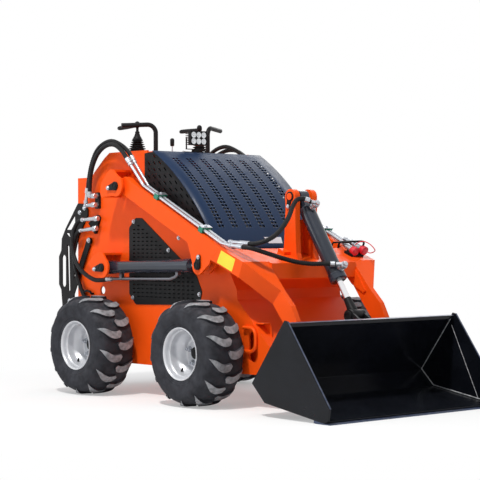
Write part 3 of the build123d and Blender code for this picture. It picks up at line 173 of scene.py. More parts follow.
# cylinders: black paint whose navy tint is partly painted sky reflection
CYLINDER_PAINT_AND_SKY_REFLECTION = finish("cylinder_paint", (0.022, 0.028, 0.042), 0.18, coat=0.35, mottle=0.1, bump=0.01,
                  specular=0.25)
CHROME = finish("rod_chrome", (0.80, 0.80, 0.82), 0.10, metallic=1.0, mottle=0.02, rough_range=0.03,
                bump=0.01)
STEEL = finish("zinc_steel", (0.50, 0.52, 0.56), 0.30, metallic=0.75, mottle=0.08, mottle_scale=60.0,
               bump=0.06)
PLASTIC = finish("black_plastic", (0.010, 0.010, 0.011), 0.50, mottle=0.2, bump=0.12, specular=0.12)
GREEN = finish("clamp_plastic", (0.008, 0.20, 0.12), 0.45, mottle=0.1, bump=0.06)
IRON = finish("engine_iron", (0.022, 0.022, 0.024), 0.65, mottle=0.3, bump=0.3, specular=0.12)
DARK_STEEL = finish("feed_steel", (0.16, 0.16, 0.18), 0.35, metallic=0.6, mottle=0.1, bump=0.05)
CORE = finish("cooler_aluminium", (0.55, 0.55, 0.55), 0.5, metallic=0.3, mottle=0.1, bump=0.1)
RED = finish("cap_red", (0.70, 0.020, 0.040), 0.42, mottle=0.08, bump=0.05)
HOSE = finish("hose_rubber", (0.013, 0.013, 0.014), 0.48, mottle=0.3, mottle_scale=90.0,
              bump_scale=900.0, bump=0.15, specular=0.15)
YELLOW = finish("plate_yellow", (0.80, 0.66, 0.03), 0.45, mottle=0.03, bump=0.02)
WHITE = finish("plate_white", (0.70, 0.73, 0.78), 0.40, mottle=0.03, bump=0.02)
WELD = finish("weld_bead", (0.55, 0.56, 0.58), 0.45, metallic=0.5, mottle=0.4, mottle_scale=140.0,
              bump_scale=300.0, bump=0.6)
LENS = finish("lamp_lens", (0.66, 0.68, 0.70), 0.18, metallic=0.6, mottle=0.1, mottle_scale=80.0,
              bump=0.02)

for part in frame["record"]["subparts"]:
    cad_node, slot = frame["nodes"][part["node"]], part["material_slot"]
    cad_node.data.materials.clear()
    cad_node.data.materials.append(STEEL if slot == "steel" else FINISHES[slot])
# the cutting edge takes the blue of painted sky reflection, with dust
frame["nodes"]["cutting_edge"].data.materials[0] = EDGE_SKY_REFLECTION_AND_DUST
for node in ("lift_feed_right", "lift_feed_left"):
    frame["nodes"][node].data.materials[0] = DARK_STEEL
frame["nodes"]["quick_attach"].data.materials[0] = BLACK


# ---- modelling ----
def square_to(axis):
    """Two unit directions square to axis and to one another."""
    axis = axis.normalized()
    first = axis.cross(Vector((0, 0, 1)) if abs(axis.z) < 0.9 else Vector((0, 1, 0))).normalized()
    return first, axis.cross(first)


def ring(centre, first, second, radius, steps):
    turns = [math.tau * i / steps for i in range(steps)]
    return [centre + (first * math.cos(turn) + second * math.sin(turn)) * radius for turn in turns]


def curve_through(points, each=6):
    """A smooth run of places through the given ones."""
    ends = [points[0] * 2 - points[1], *points, points[-1] * 2 - points[-2]]
    out = []
    for a, b, c, d in zip(ends, ends[1:], ends[2:], ends[3:]):
        for step in range(each):
            t = step / each
            out.append(0.5 * (2 * b + (c - a) * t + (2 * a - 5 * b + 4 * c - d) * t ** 2
                              + (3 * b - a - 3 * c + d) * t ** 3))
    return [*out, points[-1]]


def evenly(points, gap):
    """The same run, divided into steps of about gap."""
    lengths = [0.0]
    for a, b in zip(points, points[1:]):
        lengths.append(lengths[-1] + (b - a).length)
    count = max(2, round(lengths[-1] / gap))
    out, k = [], 0
    for i in range(count + 1):
        goal = lengths[-1] * i / count
        while k < len(points) - 2 and lengths[k + 1] < goal:
            k += 1
        share = (goal - lengths[k]) / max(1e-9, lengths[k + 1] - lengths[k])
        out.append(points[k].lerp(points[k + 1], min(1.0, share)))
    return out


def placed(name, data):
    """A new object in the scene."""
    made = bpy.data.objects.new(name, data)
    bpy.context.scene.collection.objects.link(made)
    return made


class Shape:
    """Surfaces gathered in one mesh, which becomes one piece."""

    def __init__(self):
        self.mesh = bmesh.new()
        self.index = 0

    def skin(self, rings, caps=True, smooth=True, loop=False):
        rows = [[self.mesh.verts.new(p) for p in row] for row in rings]
        pairs = list(zip(rows, rows[1:]))
        if loop:
            pairs.append((rows[-1], rows[0]))
        for low, high in pairs:
            for i in range(len(low)):
                j = (i + 1) % len(low)
                face = self.mesh.faces.new((low[i], low[j], high[j], high[i]))
                face.smooth = smooth
                face.material_index = self.index
        if caps and not loop:
            for row in (rows[0][::-1], rows[-1]):
                face = self.mesh.faces.new(row)
                face.material_index = self.index

    def turned(self, base, axis, profile, steps=24, loop=False):
        """Profile rows are the distance along axis and the radius, in millimetres."""
        axis = axis.normalized()
        first, second = square_to(axis)
        self.skin([ring(base + axis * (d / 1000), first, second, max(r, 0.05) / 1000, steps)
                   for d, r in profile], loop=loop)

    def tube(self, points, radius, steps):
        """Radius is one number or one for each point, in millimetres."""
        radii = radius if isinstance(radius, list) else [radius] * len(points)
        rings, first = [], None
        for i, point in enumerate(points):
            along = (points[min(i + 1, len(points) - 1)] - points[max(i - 1, 0)]).normalized()
            first = square_to(along)[0] if first is None else (first - along * first.dot(along)).normalized()
            rings.append(ring(point, first, along.cross(first), radii[i] / 1000, steps))
        self.skin(rings)

    def slab(self, outline, depth):
        """Flat outline of places, thickened by the vector depth."""
        self.skin([outline, [p + depth for p in outline]], smooth=False)

    def bar(self, start, end, tall, y, wide):
        """Bar along y, over a section from start to end in (x, z) that is thickened by tall."""
        (x0, z0), (x1, z1), (dx, dz) = start, end, tall
        section = ((x0, z0), (x1, z1), (x1 + dx, z1 + dz), (x0 + dx, z0 + dz))
        self.slab([mm(x, y, z) for x, z in section], Vector((0, wide / 1000, 0)))

    def bolt(self, place, axis, across, tall):
        """Hex head on a washer; place is where it sits, axis points away from the plate."""
        washer, corner = across * 0.78, across * 0.577
        self.turned(place, axis, ((0, washer), (1.6, washer), (1.8, across * 0.70)), 18)
        self.turned(place, axis, ((1.0, corner), (tall - 1.2, corner), (tall, across * 0.50)), 6)

    def finished(self, name, materials):
        data = bpy.data.meshes.new(name)
        self.mesh.to_mesh(data)
        self.mesh.free()
        for material in materials:
            data.materials.append(material)
        return placed(name, data)

    def piece(self, name, materials, body, slot=None, replaces=(), crease=38.0, blend=None):
        bmesh.ops.recalc_face_normals(self.mesh, faces=self.mesh.faces)
        for edge in self.mesh.edges:
            if len(edge.link_faces) == 2 and edge.calc_face_angle(0.0) > math.radians(crease):
                edge.smooth = False
        made = self.finished(name, materials)
        if blend is None:
            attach(made, body)
        else:
            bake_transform(made)
        if replaces:
            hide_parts(*replaces)


def mirrored(points, side):
    """Places listed as (x, y, z) for the right side, taken to the given side."""
    return [mm(x, y * -side, z) for x, y, z in points]


# ---- perforated sheets ----
def cell(shape, span_u, span_v, hole=None, turn=0.0):
    """One cell of a sheet in (u, v), plain or with a slot of the given half sizes in its middle."""
    (u0, u1), (v0, v1) = span_u, span_v
    corners = ((u0, v0), (u1, v0), (u1, v1), (u0, v1))
    if hole is None:
        shape.mesh.faces.new([shape.mesh.verts.new((u, v, 0)) for u, v in corners])
        return
    mid_u, mid_v = (u0 + u1) / 2, (v0 + v1) / 2
    c, s = math.cos(turn), math.sin(turn)
    outer, inner = [], []
    for a, b in zip(corners, corners[1:] + corners[:1]):
        for share in (0, 1 / 3, 2 / 3):
            u, v = a[0] + (b[0] - a[0]) * share, a[1] + (b[1] - a[1]) * share
            du, dv = u - mid_u, v - mid_v
            angle = math.atan2((dv * c - du * s) / hole[1], (du * c + dv * s) / hole[0])
            x, y = (half * math.copysign(abs(way) ** 0.5, way)
                    for half, way in zip(hole, (math.cos(angle), math.sin(angle))))
            outer.append((u, v, 0))
            inner.append((mid_u + x * c - y * s, mid_v + x * s + y * c, 0))
    rim, lip = ([shape.mesh.verts.new(p) for p in places] for places in (outer, inner))
    for i in range(12):
        j = (i + 1) % 12
        shape.mesh.faces.new((rim[i], rim[j], lip[j], lip[i]))


def rounded(outline, radius, steps=5):
    """Corners of a flat (u, v) outline, each rounded by an arc."""
    out = []
    for i, corner in enumerate(outline):
        here = Vector(corner)
        before, after = Vector(outline[i - 1]) - here, Vector(outline[(i + 1) % len(outline)]) - here
        reach = min(radius / math.tan(before.angle(after) / 2), before.length / 2, after.length / 2)
        a, b = here + before.normalized() * reach, here + after.normalized() * reach
        out += [(a * (1 - t) ** 2 + here * 2 * t * (1 - t) + b * t ** 2).to_tuple() for t in
                [k / steps for k in range(steps + 1)]]
    return out


def sides_of(outline):
    """Start of each side of a convex (u, v) outline, and the unit direction inward from it."""
    ends = list(zip(outline, outline[1:] + outline[:1]))
    turn = math.copysign(1, sum(a[0] * b[1] - b[0] * a[1] for a, b in ends))
    for a, b in ends:
        run = Vector(b) - Vector(a)
        if run.length > 0.01:
            run.normalize()
            yield Vector(a), Vector((-run.y, run.x)) * turn


def clearance(point, outline):
    """Distance of a (u, v) place inside a convex outline, from its nearest side."""
    return min(inward.dot(Vector(point) - start) for start, inward in sides_of(outline))


def trimmed(shape, outline):
    """Cut a flat sheet in (u, v) down to a convex outline."""
    for start, inward in sides_of(outline):
        everything = shape.mesh.verts[:] + shape.mesh.edges[:] + shape.mesh.faces[:]
        bmesh.ops.bisect_plane(shape.mesh, geom=everything, plane_co=(*start, 0), dist=1e-4,
                               plane_no=(*-inward, 0), clear_outer=True)


def sheet_piece(shape, name, place, thickness, material, node, smooth=False):
    """Lay a flat (u, v) sheet on its surface, give it thickness, and let it stand for a CAD node."""
    bmesh.ops.remove_doubles(shape.mesh, verts=shape.mesh.verts, dist=0.02)
    for vert in shape.mesh.verts:
        vert.co = place(vert.co.x, vert.co.y)
    bmesh.ops.recalc_face_normals(shape.mesh, faces=shape.mesh.faces)
    for face in shape.mesh.faces:
        face.smooth = smooth
    made = shape.finished(name, [material])
    thick = made.modifiers.new("thickness", "SOLIDIFY")
    thick.thickness = thickness / 1000
    thick.offset = 0
    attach(made, "chassis")
    if node is not None:
        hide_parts(node)


PLATE_OUT = 360  # outer faces of the chassis side plates
SHEET = 3.0
GRILLE_OUTLINE = ((-293, 540), (-293, 895), (-235, 947), (-182, 946),
                  (275, 645), (320, 563), (300, 495), (-235, 483))
GRILLE_CORNER = 24
GRILLE_START = (-305, 475)
GRILLE_PITCH = (38, 21)
GRILLE_CELLS = (18, 24)
GRILLE_SLOT = (10.5, 3.0)  # half length and half height
GRILLE_EDGE = 23  # least distance from a slot to the sheet's edge
HOOD_ARC_CENTRE = (-721.55, 133.73)
HOOD_ARC_RADIUS = 1339.74
HOOD_HALF = 381
HOOD_SHEET = 2.6
HOOD_SINK = (1.15, 1.2)  # from the arc to the middle of the sheet, in x and z
HOOD_ROWS = 24  # slots along each column
HOOD_PAIRS = (-282, -188, -94, 0, 94, 188, 282)  # y between the two columns of a pair
HOOD_COLUMN = 21.6  # width of a column of slots
HOOD_SLOT = (7.2, 8.8)
HOOD_SLOTTED = (57.6, 34.4)  # degrees where the slots start and end
HOOD_ENDS = (60.6, 28.84)  # degrees of the sheet's upper and lower edge
HOOD_BLANK = (3, 5)  # rows without slots above and below them
# degrees round the hood's arc and y: the blank plate under the slots
HOOD_PLATE = ((31.9, -24), (31.9, 96), (31.35, 94), (30.8, 92), (30.3, 90), (30.3, -6.0),
              (30.8, -12), (31.35, -18))
HOOD_SIDE_ARC = (28.9, 60.5)  # degrees where the side sheets' curved edge starts and ends
HOOD_SIDE_INSET = (2.5, 2.6)  # this edge lies under the hood
HOOD_SIDE_FOOT = ((-155, 1290), (-155, 1018), (430, 742))
HOOD_SIDE_PITCH = (45.7, 36.1)
HOOD_SIDE_SLOT = (15.5, 4.2)
HOOD_SIDE_TURN = math.radians(-43)
HOOD_SIDE_START = (-117.7, 1271.8)
HOOD_SIDE_EDGE = 11


def on_hood(angle, inward=0.0):
    """(x, z) on the hood's arc at an angle in degrees, or some way inside it."""
    reach, turn = HOOD_ARC_RADIUS - inward, math.radians(angle)
    return HOOD_ARC_CENTRE[0] + reach * math.cos(turn), HOOD_ARC_CENTRE[1] + reach * math.sin(turn)


def side_sheet(shape, outline, name, side, node):
    """Trim a sheet and lay it flat on a side plate; the left one stands for the CAD node of both."""
    trimmed(shape, outline)
    sheet_piece(shape, name, lambda u, v: mm(u, side * (PLATE_OUT + SHEET / 2), v), SHEET, BLACK,
                node if side > 0 else None)


def build_grilles():
    """Black sheets with level slots over the side windows."""
    outline = rounded(GRILLE_OUTLINE, GRILLE_CORNER)
    pitch_x, pitch_z = GRILLE_PITCH
    for name, side in SIDES:
        shape = Shape()
        for row in range(GRILLE_CELLS[1]):
            for column in range(GRILLE_CELLS[0]):
                u, v = GRILLE_START[0] + pitch_x * column, GRILLE_START[1] + pitch_z * row
                room = min(clearance((u + pitch_x / 2 + k, v + pitch_z / 2 + m), outline)
                           for k in (-11, 11) for m in (-3, 3))
                cell(shape, (u, u + pitch_x), (v, v + pitch_z), GRILLE_SLOT if room > GRILLE_EDGE else None)
        side_sheet(shape, outline, "side_grille_" + name, side, "side_grilles")


def build_hood_sides():
    """Black sheets with slanted slots between the tower and the curved hood."""
    low, top = HOOD_SIDE_ARC
    arc = [on_hood(low + (top - low) * k / 14) for k in range(15)]
    outline = [*((u - HOOD_SIDE_INSET[0], v - HOOD_SIDE_INSET[1]) for u, v in arc), *HOOD_SIDE_FOOT]
    c, s = math.cos(HOOD_SIDE_TURN), math.sin(HOOD_SIDE_TURN)
    pitch_x, pitch_z = HOOD_SIDE_PITCH
    for name, side in SIDES:
        shape = Shape()
        for row in range(-15, 2):
            for column in range(-2, 15):
                u, v = HOOD_SIDE_START[0] + pitch_x * column, HOOD_SIDE_START[1] + pitch_z * row
                if clearance((u, v), outline) > -60:
                    room = min(clearance((u + k * c, v + k * s), outline) for k in (-15, 15))
                    cell(shape, (u - pitch_x / 2, u + pitch_x / 2), (v - pitch_z / 2, v + pitch_z / 2),
                         HOOD_SIDE_SLOT if room > HOOD_SIDE_EDGE else None, HOOD_SIDE_TURN)
        side_sheet(shape, outline, "hood_side_" + name, side, "hood_sides")


def build_hood():
    """Curved sheet with seven double rows of short slots, and a blank plate under them."""
    (top, low), (first, last), (above, below) = HOOD_ENDS, HOOD_SLOTTED, HOOD_BLANK
    steps = [top + (first - top) * k / above for k in range(above)]
    steps += [first + (last - first) * k / HOOD_ROWS for k in range(HOOD_ROWS)]
    steps += [last + (low - last) * k / below for k in range(below + 1)]
    turns = [math.radians(a) * HOOD_ARC_RADIUS for a in steps]
    lines = [-HOOD_HALF, *(middle + k * HOOD_COLUMN for middle in HOOD_PAIRS for k in (-1, 0, 1)), HOOD_HALF]
    shape = Shape()
    for i in range(len(turns) - 1):
        for j in range(len(lines) - 1):
            slotted = above <= i < above + HOOD_ROWS and j % 3 != 0
            cell(shape, (turns[i + 1], turns[i]), (lines[j], lines[j + 1]), HOOD_SLOT if slotted else None)

    def place(u, v):
        x, z = on_hood(math.degrees(u / HOOD_ARC_RADIUS))
        return mm(x - HOOD_SINK[0], v, z - HOOD_SINK[1])

    sheet_piece(shape, "hood_sheet", place, HOOD_SHEET, HOOD_PAINT_AND_SKY_REFLECTION, "hood", smooth=True)
    plate = Shape()
    plate.skin([[mm(on_hood(a, inward)[0], v, on_hood(a, inward)[1]) for a, v in HOOD_PLATE]
                for inward in (0.2, -1.0)], smooth=False)
    plate.piece("hood_plate", [WHITE], "chassis")


SHROUD_HALF = 344
SHROUD_DEPTH = 62  # from the hood's arc in to the shroud
SHROUD_BACK = ((400, 700), (320, 470), (-300, 470), (-300, 960), (-150, 1160))
SHROUD_RIBS = range(-323, 318, 80)  # y of each rib
RIB_RISE = (14, 14)
COOLER_HALF = 250
COOLER_FINS = 13
COOLER_TOP = 41.6  # degrees round the hood's arc, where the uppermost fin lies
COOLER_DEPTHS = (52, 30)  # back and front of a fin, in from the hood's arc
NOSE_PLATE = ((600, 200), (790, 200), (790, 310), (770, 420), (600, 420))
NOSE_PLATE_IN = 296


def build_interior():
    """Dark ribbed shroud behind the slotted sheets, cooler fins, and the nose's inner plates."""
    shroud = Shape()
    section = [*(on_hood(58 - 2.6 * k, SHROUD_DEPTH) for k in range(10)), *SHROUD_BACK]
    shroud.slab([mm(u, -SHROUD_HALF, v) for u, v in section], Vector((0, 2 * SHROUD_HALF / 1000, 0)))
    for y in SHROUD_RIBS:
        for start, end in zip(section[:9], section[1:10]):
            shroud.bar(start, end, RIB_RISE, y, 6)
    shroud.piece("engine_shroud", [IRON], "chassis")
    core = Shape()
    for k in range(COOLER_FINS):
        turn = math.radians(COOLER_TOP - k)
        back, front = (on_hood(COOLER_TOP - k, depth) for depth in COOLER_DEPTHS)
        core.bar(back, front, (5 * math.sin(turn), -5 * math.cos(turn)), -COOLER_HALF, 2 * COOLER_HALF)
    core.piece("cooler_fins", [CORE], "chassis")
    nose = Shape()
    for _, side in SIDES:
        nose.slab([mm(u, side * NOSE_PLATE_IN, v) for u, v in rounded(NOSE_PLATE, 20)],
                  Vector((0, side * 0.006, 0)))
        nose.bar((600, 414), (774, 414), (0, 6), side * (NOSE_PLATE_IN + 6), side * 46)
    nose.piece("nose_inner_plates", [ORANGE], "chassis")


# ---- wheels ----
TYRE_RADIUS = 265
# half section of the casing, from the bead to the middle: distance from the middle plane, radius
CARCASS = ((-104, 132), (-108, 142), (-110, 150), (-112.5, 152), (-112.5, 156),
           (-114, 160), (-117, 175), (-118.5, 190), (-118.5, 203), (-117, 210),
           (-117.5, 213), (-115.5, 218), (-110, 228), (-100, 238.5), (-85, 245.5),
           (-60, 250), (-30, 252), (0.0, 252.5))
LUGS = 13  # on each half of the tread
LUG_STATIONS = 13
LUG_START = -14  # a lug starts just past the middle
LUG_REACH = 126
LUG_WIDTH = 42
LUG_HEIGHT = 13
LUG_SINK = 4.0  # depth of a lug's foot in the casing
LUG_CHAMFER = 2.6


def carcass_radius(a):
    """Radius of the casing at a distance from the tyre's middle plane, over the tread."""
    points = [(-x, r) for x, r in reversed(CARCASS)]
    a = abs(a)
    for (a0, r0), (a1, r1) in zip(points, points[1:]):
        if a0 <= a <= a1:
            return r0 + (r1 - r0) * (a - a0) / max(1e-6, a1 - a0)
    return CARCASS[10][1]


def lug_width(t):
    """Width at a share t of the lug's length: a round start, a long even stretch, a pointed end."""
    width = LUG_WIDTH * math.sqrt(max(0.06, 1 - max(0.0, 1 - t / 0.12) ** 2))
    return width * (1 - 0.88 * (max(0.0, t - 0.60) / 0.40) ** 2.2)


def build_tyre(name, side):
    axle = pivot("wheel_" + name + "_spin")
    out = Vector((0, side, 0))
    shape = Shape()

    def place(a, r, turn):
        return axle + out * (a / 1000) + (FORWARD * math.cos(turn) + UP * math.sin(turn)) * (r / 1000)

    profile = [*CARCASS, *[(-a, r) for a, r in reversed(CARCASS[:-1])]]
    steps = 72
    shape.skin([[place(a, r, math.tau * i / steps) for i in range(steps)] for a, r in profile], caps=False)
    for hand in (-1, 1):
        for lug in range(LUGS):
            base = math.tau * (lug + (0.5 if hand > 0 else 0.0)) / LUGS
            rows = []
            for k in range(LUG_STATIONS + 1):
                t = k / LUG_STATIONS
                a = LUG_START + LUG_REACH * t
                width = lug_width(t)
                bend = math.radians(2.4 * (max(0.0, 0.35 - t) / 0.35) ** 2
                                    + 11 * (max(0.0, t - 0.35) / 0.65) ** 1.7)
                casing = carcass_radius(a)
                tall = LUG_HEIGHT * (1 - 0.55 * max(0.0, t - 0.75) / 0.25)
                crown = min(TYRE_RADIUS - 0.3, casing + tall)
                ridge = crown + (0 if crown > TYRE_RADIUS - 1 else 0.3)
                half, slim = width / 2 / casing, max(0.5, width / 2 - LUG_CHAMFER) / casing
                across = ((casing - LUG_SINK, -half), (casing + tall * 0.6, -half * 0.97), (crown, -slim),
                          (ridge, 0.0), (crown, slim), (casing + tall * 0.6, half * 0.97),
                          (casing - LUG_SINK, half))
                rows.append([shape.mesh.verts.new(place(hand * a, r, base + bend + turn))
                             for r, turn in across])
            for low, high in zip(rows, rows[1:]):
                for i in range(6):
                    face = shape.mesh.faces.new((low[i], low[i + 1], high[i + 1], high[i]))
                    face.smooth = True
                    face.material_index = 1 if i in (2, 3) else 0
            for row in (rows[0][::-1], rows[-1]):
                shape.mesh.faces.new(row).material_index = 0
    shape.piece("tyre_" + name + "_tread", [RUBBER, TREAD], "wheel_" + name, replaces=("tyre_" + name,),
                crease=32)


# closed section of the rim: distance out from the machine's middle, radius
RIM_PROFILE = ((608.6, 125), (608.6, 131.6), (610.5, 132), (613, 131), (613.4, 128.5), (611.5, 125.5),
               (606.5, 122.6), (599, 120.6), (590, 119.8), (584, 117.4), (580, 113.6), (560, 111.4),
               (549, 109.8), (541, 106), (535, 100), (518, 91), (505, 84), (500, 80.5),
               (497.8, 76), (497.6, 70), (497.6, 31.5), (496, 30.6), (490, 30.6), (489.6, 33),
               (489.6, 78), (492, 85), (506, 94), (524, 104), (533, 112), (540, 117),
               (546, 118.8), (396, 119), (395.6, 131), (400, 131.6), (400.4, 125))
DISC_FACE = 0.4978  # where the wheel nuts sit
NUTS = 5
NUT_CIRCLE = 0.060
NUT_SEAT = ((0, 15.5), (3.0, 15), (7.0, 12))
NUT = ((2.0, 13.4), (17.5, 13.4), (19.5, 11.5))
STUD = ((15, 6.5), (26, 6.5), (27, 5.5))
VALVE = ((-3.0, 9.0), (2.0, 9.0), (4.0, 6.0), (22, 4.6), (25, 3.6))
VALVE_OUT = 0.548
VALVE_DIRECTION = Vector((-0.55, 0, -0.835))


def build_rim(name, side):
    axle = pivot("wheel_" + name + "_spin")
    out = Vector((0, side, 0))
    hub = Vector((axle.x, 0, axle.z))
    shape = Shape()
    shape.turned(hub, out, RIM_PROFILE, 64, loop=True)
    shape.index = 1
    for k in range(NUTS):
        turn = math.tau * k / NUTS + 0.35
        spot = hub + Vector((math.cos(turn), 0, math.sin(turn))) * NUT_CIRCLE + out * DISC_FACE
        for profile, steps in ((NUT_SEAT, 20), (NUT, 6), (STUD, 12)):
            shape.turned(spot, out, profile, steps)
    shape.index = 2
    low = hub + VALVE_DIRECTION * 0.1135 + out * VALVE_OUT
    shape.turned(low, out * 0.25 - VALVE_DIRECTION, VALVE, 14)
    shape.piece("rim_" + name + "_dish", [RIM, STEEL, PLASTIC], "wheel_" + name, replaces=("rim_" + name,),
                crease=30)


# ---- controls ----
CONSOLE_Z = 1300
JOYSTICK_X = -402
JOYSTICK_Y = 222
PLEATS = 6
PLEAT_PITCH = 12
PLEAT_TAPER = 4.2
BOOT_RADIUS = 56
# one pleat: rise above its foot, radius less than the pleat's own
PLEAT = ((0.0, 13), (3.0, 1.0), (5.0, 0.0), (7.0, 2.0), (10.5, 13.5))
# cone, stem and knob over the pleats: height over the console, radius
STEM = ((75, 31), (80, 29.5), (100, 18), (116, 12), (121, 13), (125, 12), (128, 7.5),
        (146, 7.5), (149, 11), (152, 14.5), (166, 15), (176, 12.5), (181, 7.0), (182.5, 1.0))
# grip that runs rearward from the knob: x, height over the knob's middle, radius
GRIP = ((-394, 0, 9.0), (-404, 0, 10), (-420, 0.5, 8.5), (-450, 0, 9.5), (-490, -1, 11),
        (-530, -2, 12), (-560, -2.5, 12), (-572, -2.8, 10), (-577, -3, 4.0))


def build_joysticks():
    """Pleated boot, stem, knob and a grip that runs rearward."""
    shape = Shape()
    profile = [(0.2, 52)]
    for k in range(PLEATS):
        rise, wide = 2 + PLEAT_PITCH * k, BOOT_RADIUS - PLEAT_TAPER * k
        profile += [(rise + up, wide - less) for up, less in PLEAT]
    for _, side in SIDES:
        shape.turned(mm(JOYSTICK_X, side * JOYSTICK_Y, CONSOLE_Z), UP, [*profile, *STEM], 32)
        shape.tube([mm(x, side * JOYSTICK_Y, CONSOLE_Z + 156 + lift) for x, lift, _ in GRIP],
                   [radius for _, _, radius in GRIP], 16)
    shape.piece("joystick_controls", [PLASTIC], "chassis", replaces=("joysticks",), crease=50)


THROTTLE_FOOT = (-335, -30, 1300.4)
THROTTLE_STEM = ((0, 11), (3, 11), (4, 8), (9, 6), (10, 4), (52, 3.6))
THROTTLE_KNOB = ((49, 8), (52, 11), (60, 11.8), (84, 12), (91, 9), (93, 4))


def build_throttle():
    """Thin lever with a knob."""
    shape = Shape()
    shape.turned(mm(*THROTTLE_FOOT), UP, THROTTLE_STEM, 16)
    shape.index = 1
    shape.turned(mm(*THROTTLE_FOOT), UP, THROTTLE_KNOB, 20)
    shape.piece("throttle_control", [STEEL, PLASTIC], "chassis", replaces=("throttle_lever",), crease=50)


# low and high x, y and z of the lamp's blocks
LAMP_BLOCKS = (
    (-86, -70, -119, -3, 1340, 1418),  # housing
    *((-113, -86, -116, -6, 1344 + 9.6 * k, 1347.4 + 9.6 * k) for k in range(8)),  # cooling fins
    (-100, -84, -98, -24, 1345, 1413),  # back of the housing, between the fins
    (-70, -65.4, -119, -113, 1340, 1418),  # frame round the lens
    (-70, -65.4, -9, -3, 1340, 1418),
    (-70, -65.4, -113, -9, 1340, 1345),
    (-70, -65.4, -113, -9, 1413, 1418),
    (-104, -96, -122, -118.5, 1322, 1386),  # bracket: two arms, a bar, a post and its foot plate
    (-104, -96, -3.5, 0, 1322, 1386),
    (-106, -94, -122, 0, 1318, 1322),
    (-107, -84, -78, -44, 1305.6, 1318),
    (-121, -76, -145, 3, 1300.5, 1305),
    (-71, -69.2, -113, -9, 1345, 1413),  # dark ground behind the reflectors
)
LAMP_REFLECTOR = ((0.4, 15.6), (3.6, 16.2), (3.9, 14.4), (1.0, 8.0), (0.6, 4.2))
LAMP_BULB = ((0.2, 4.4), (2.4, 3.6), (3.0, 1.5))


def build_lamp():
    """Square lamp with two rows of three reflectors, cooling fins, and a bracket on a foot plate."""
    shape = Shape()
    for x0, x1, y0, y1, z0, z1 in LAMP_BLOCKS:
        shape.slab([mm(x0, y0, z0), mm(x1, y0, z0), mm(x1, y1, z0), mm(x0, y1, z0)], UP * ((z1 - z0) / 1000))
    shape.index = 1
    for row in range(2):
        for column in range(3):
            centre = mm(-69.6, -96 + 35 * column, 1362 + 34 * row)
            shape.turned(centre, FORWARD, LAMP_REFLECTOR, 20)
            shape.turned(centre, FORWARD, LAMP_BULB, 12)
    for y in (-140, -2):
        shape.bolt(mm(-99, y, 1305), UP, 10, 5)
    for y, way in ((-118, -1), (-4, 1)):
        shape.turned(mm(-100, y, 1380), Vector((0, way, 0)), ((0, 6), (3.9, 6)), 6)
    shape.piece("work_lamp", [PLASTIC, LENS], "chassis", replaces=("work_light",))


# ---- bolts, pins and small fittings ----
PIN_HEAD = ((0, 23), (2, 23), (3, 20), (3.1, 17.2), (0.6, 16.6), (0.5, 12), (3.4, 11.4), (3.6, 4.0))
LIFT_PINS = ((-244, 1116), (-370, 681))
BRACKET_FACE = 498
# x, z and |y| of each bolt's foot on the chassis, its width across flats and its height
CHASSIS_BOLTS = ((-252, 928, 363, 15, 8), (47, 775, 363, 15, 8), (299, 550, 363, 15, 8),
                 (-261, 519, 363, 15, 8), (129, 839, 360, 15, 8),
                 (-741, 984, 368.4, 17, 9), (-697, 1008, 368.4, 17, 9), (-850, 330, 368.4, 17, 9),
                 (-850, 420, 368.4, 17, 9), (-649, 828, 374.6, 19, 9), (-834, 488, 374.6, 17, 8),
                 (-301, 1107, BRACKET_FACE, 15, 8), (-427, 672, BRACKET_FACE, 15, 8))
CYLINDER_Y = 425
TUBE_OUTER, TUBE_INNER = 439, 411  # the steel tubes' places on each arm


def between(shape, ends, head, tail=(), middle=()):
    """Turned fitting between two places, its rows measured from the start, the end and the middle."""
    start, end = ends
    run = end - start
    long = run.length * 1000
    profile = [*head, *((long / 2 + d, r) for d, r in middle), *((long + d, r) for d, r in tail)]
    shape.turned(start, run, profile, 18)


def build_chassis_hardware():
    shape, black = Shape(), Shape()
    for _, side in SIDES:
        out = Vector((0, side, 0))
        for x, z, y, across, tall in CHASSIS_BOLTS:
            shape.bolt(mm(x, side * y, z), out, across, tall)
        for x, z in LIFT_PINS:
            black.turned(mm(x, side * (BRACKET_FACE - 0.4), z), out, PIN_HEAD, 28)
    shape.piece("chassis_bolts", [STEEL], "chassis")
    black.piece("bracket_pin_heads", [BLACK], "chassis")


MANIFOLD_Y = 398
MANIFOLD_PLATES = (((-591, 1002), (-553, 1002), (-553, 1092), (-591, 1092)),
                   ((-655, 924), (-568, 969), (-547, 954), (-590, 858)))
# x and z of a fitting's stud, x of its rear and front ends, rise for each mm forward
MANIFOLD_FITTINGS = ((-572, 1072, -612, -552, 0.0), (-572, 1023, -655, -552, 0.03),
                     (-580, 946, -690, -528, 0.05), (-598, 890, -706, -542, 0.08))
# x and z of the lower and the upper end of the fittings that turn up to the arm's hoses
MANIFOLD_RISERS = ((-608, 1068, -604, 1098), (-646, 1021, -622, 1118))
RISER = (((-6, 4), (-4, 8), (4, 10), (16, 10), (16.5, 13), (26, 13), (27, 9.5)), ((-28, 9.5),))
RISER_NUT = ((-30, 13.6), (-1, 13.6), (0, 12.6))


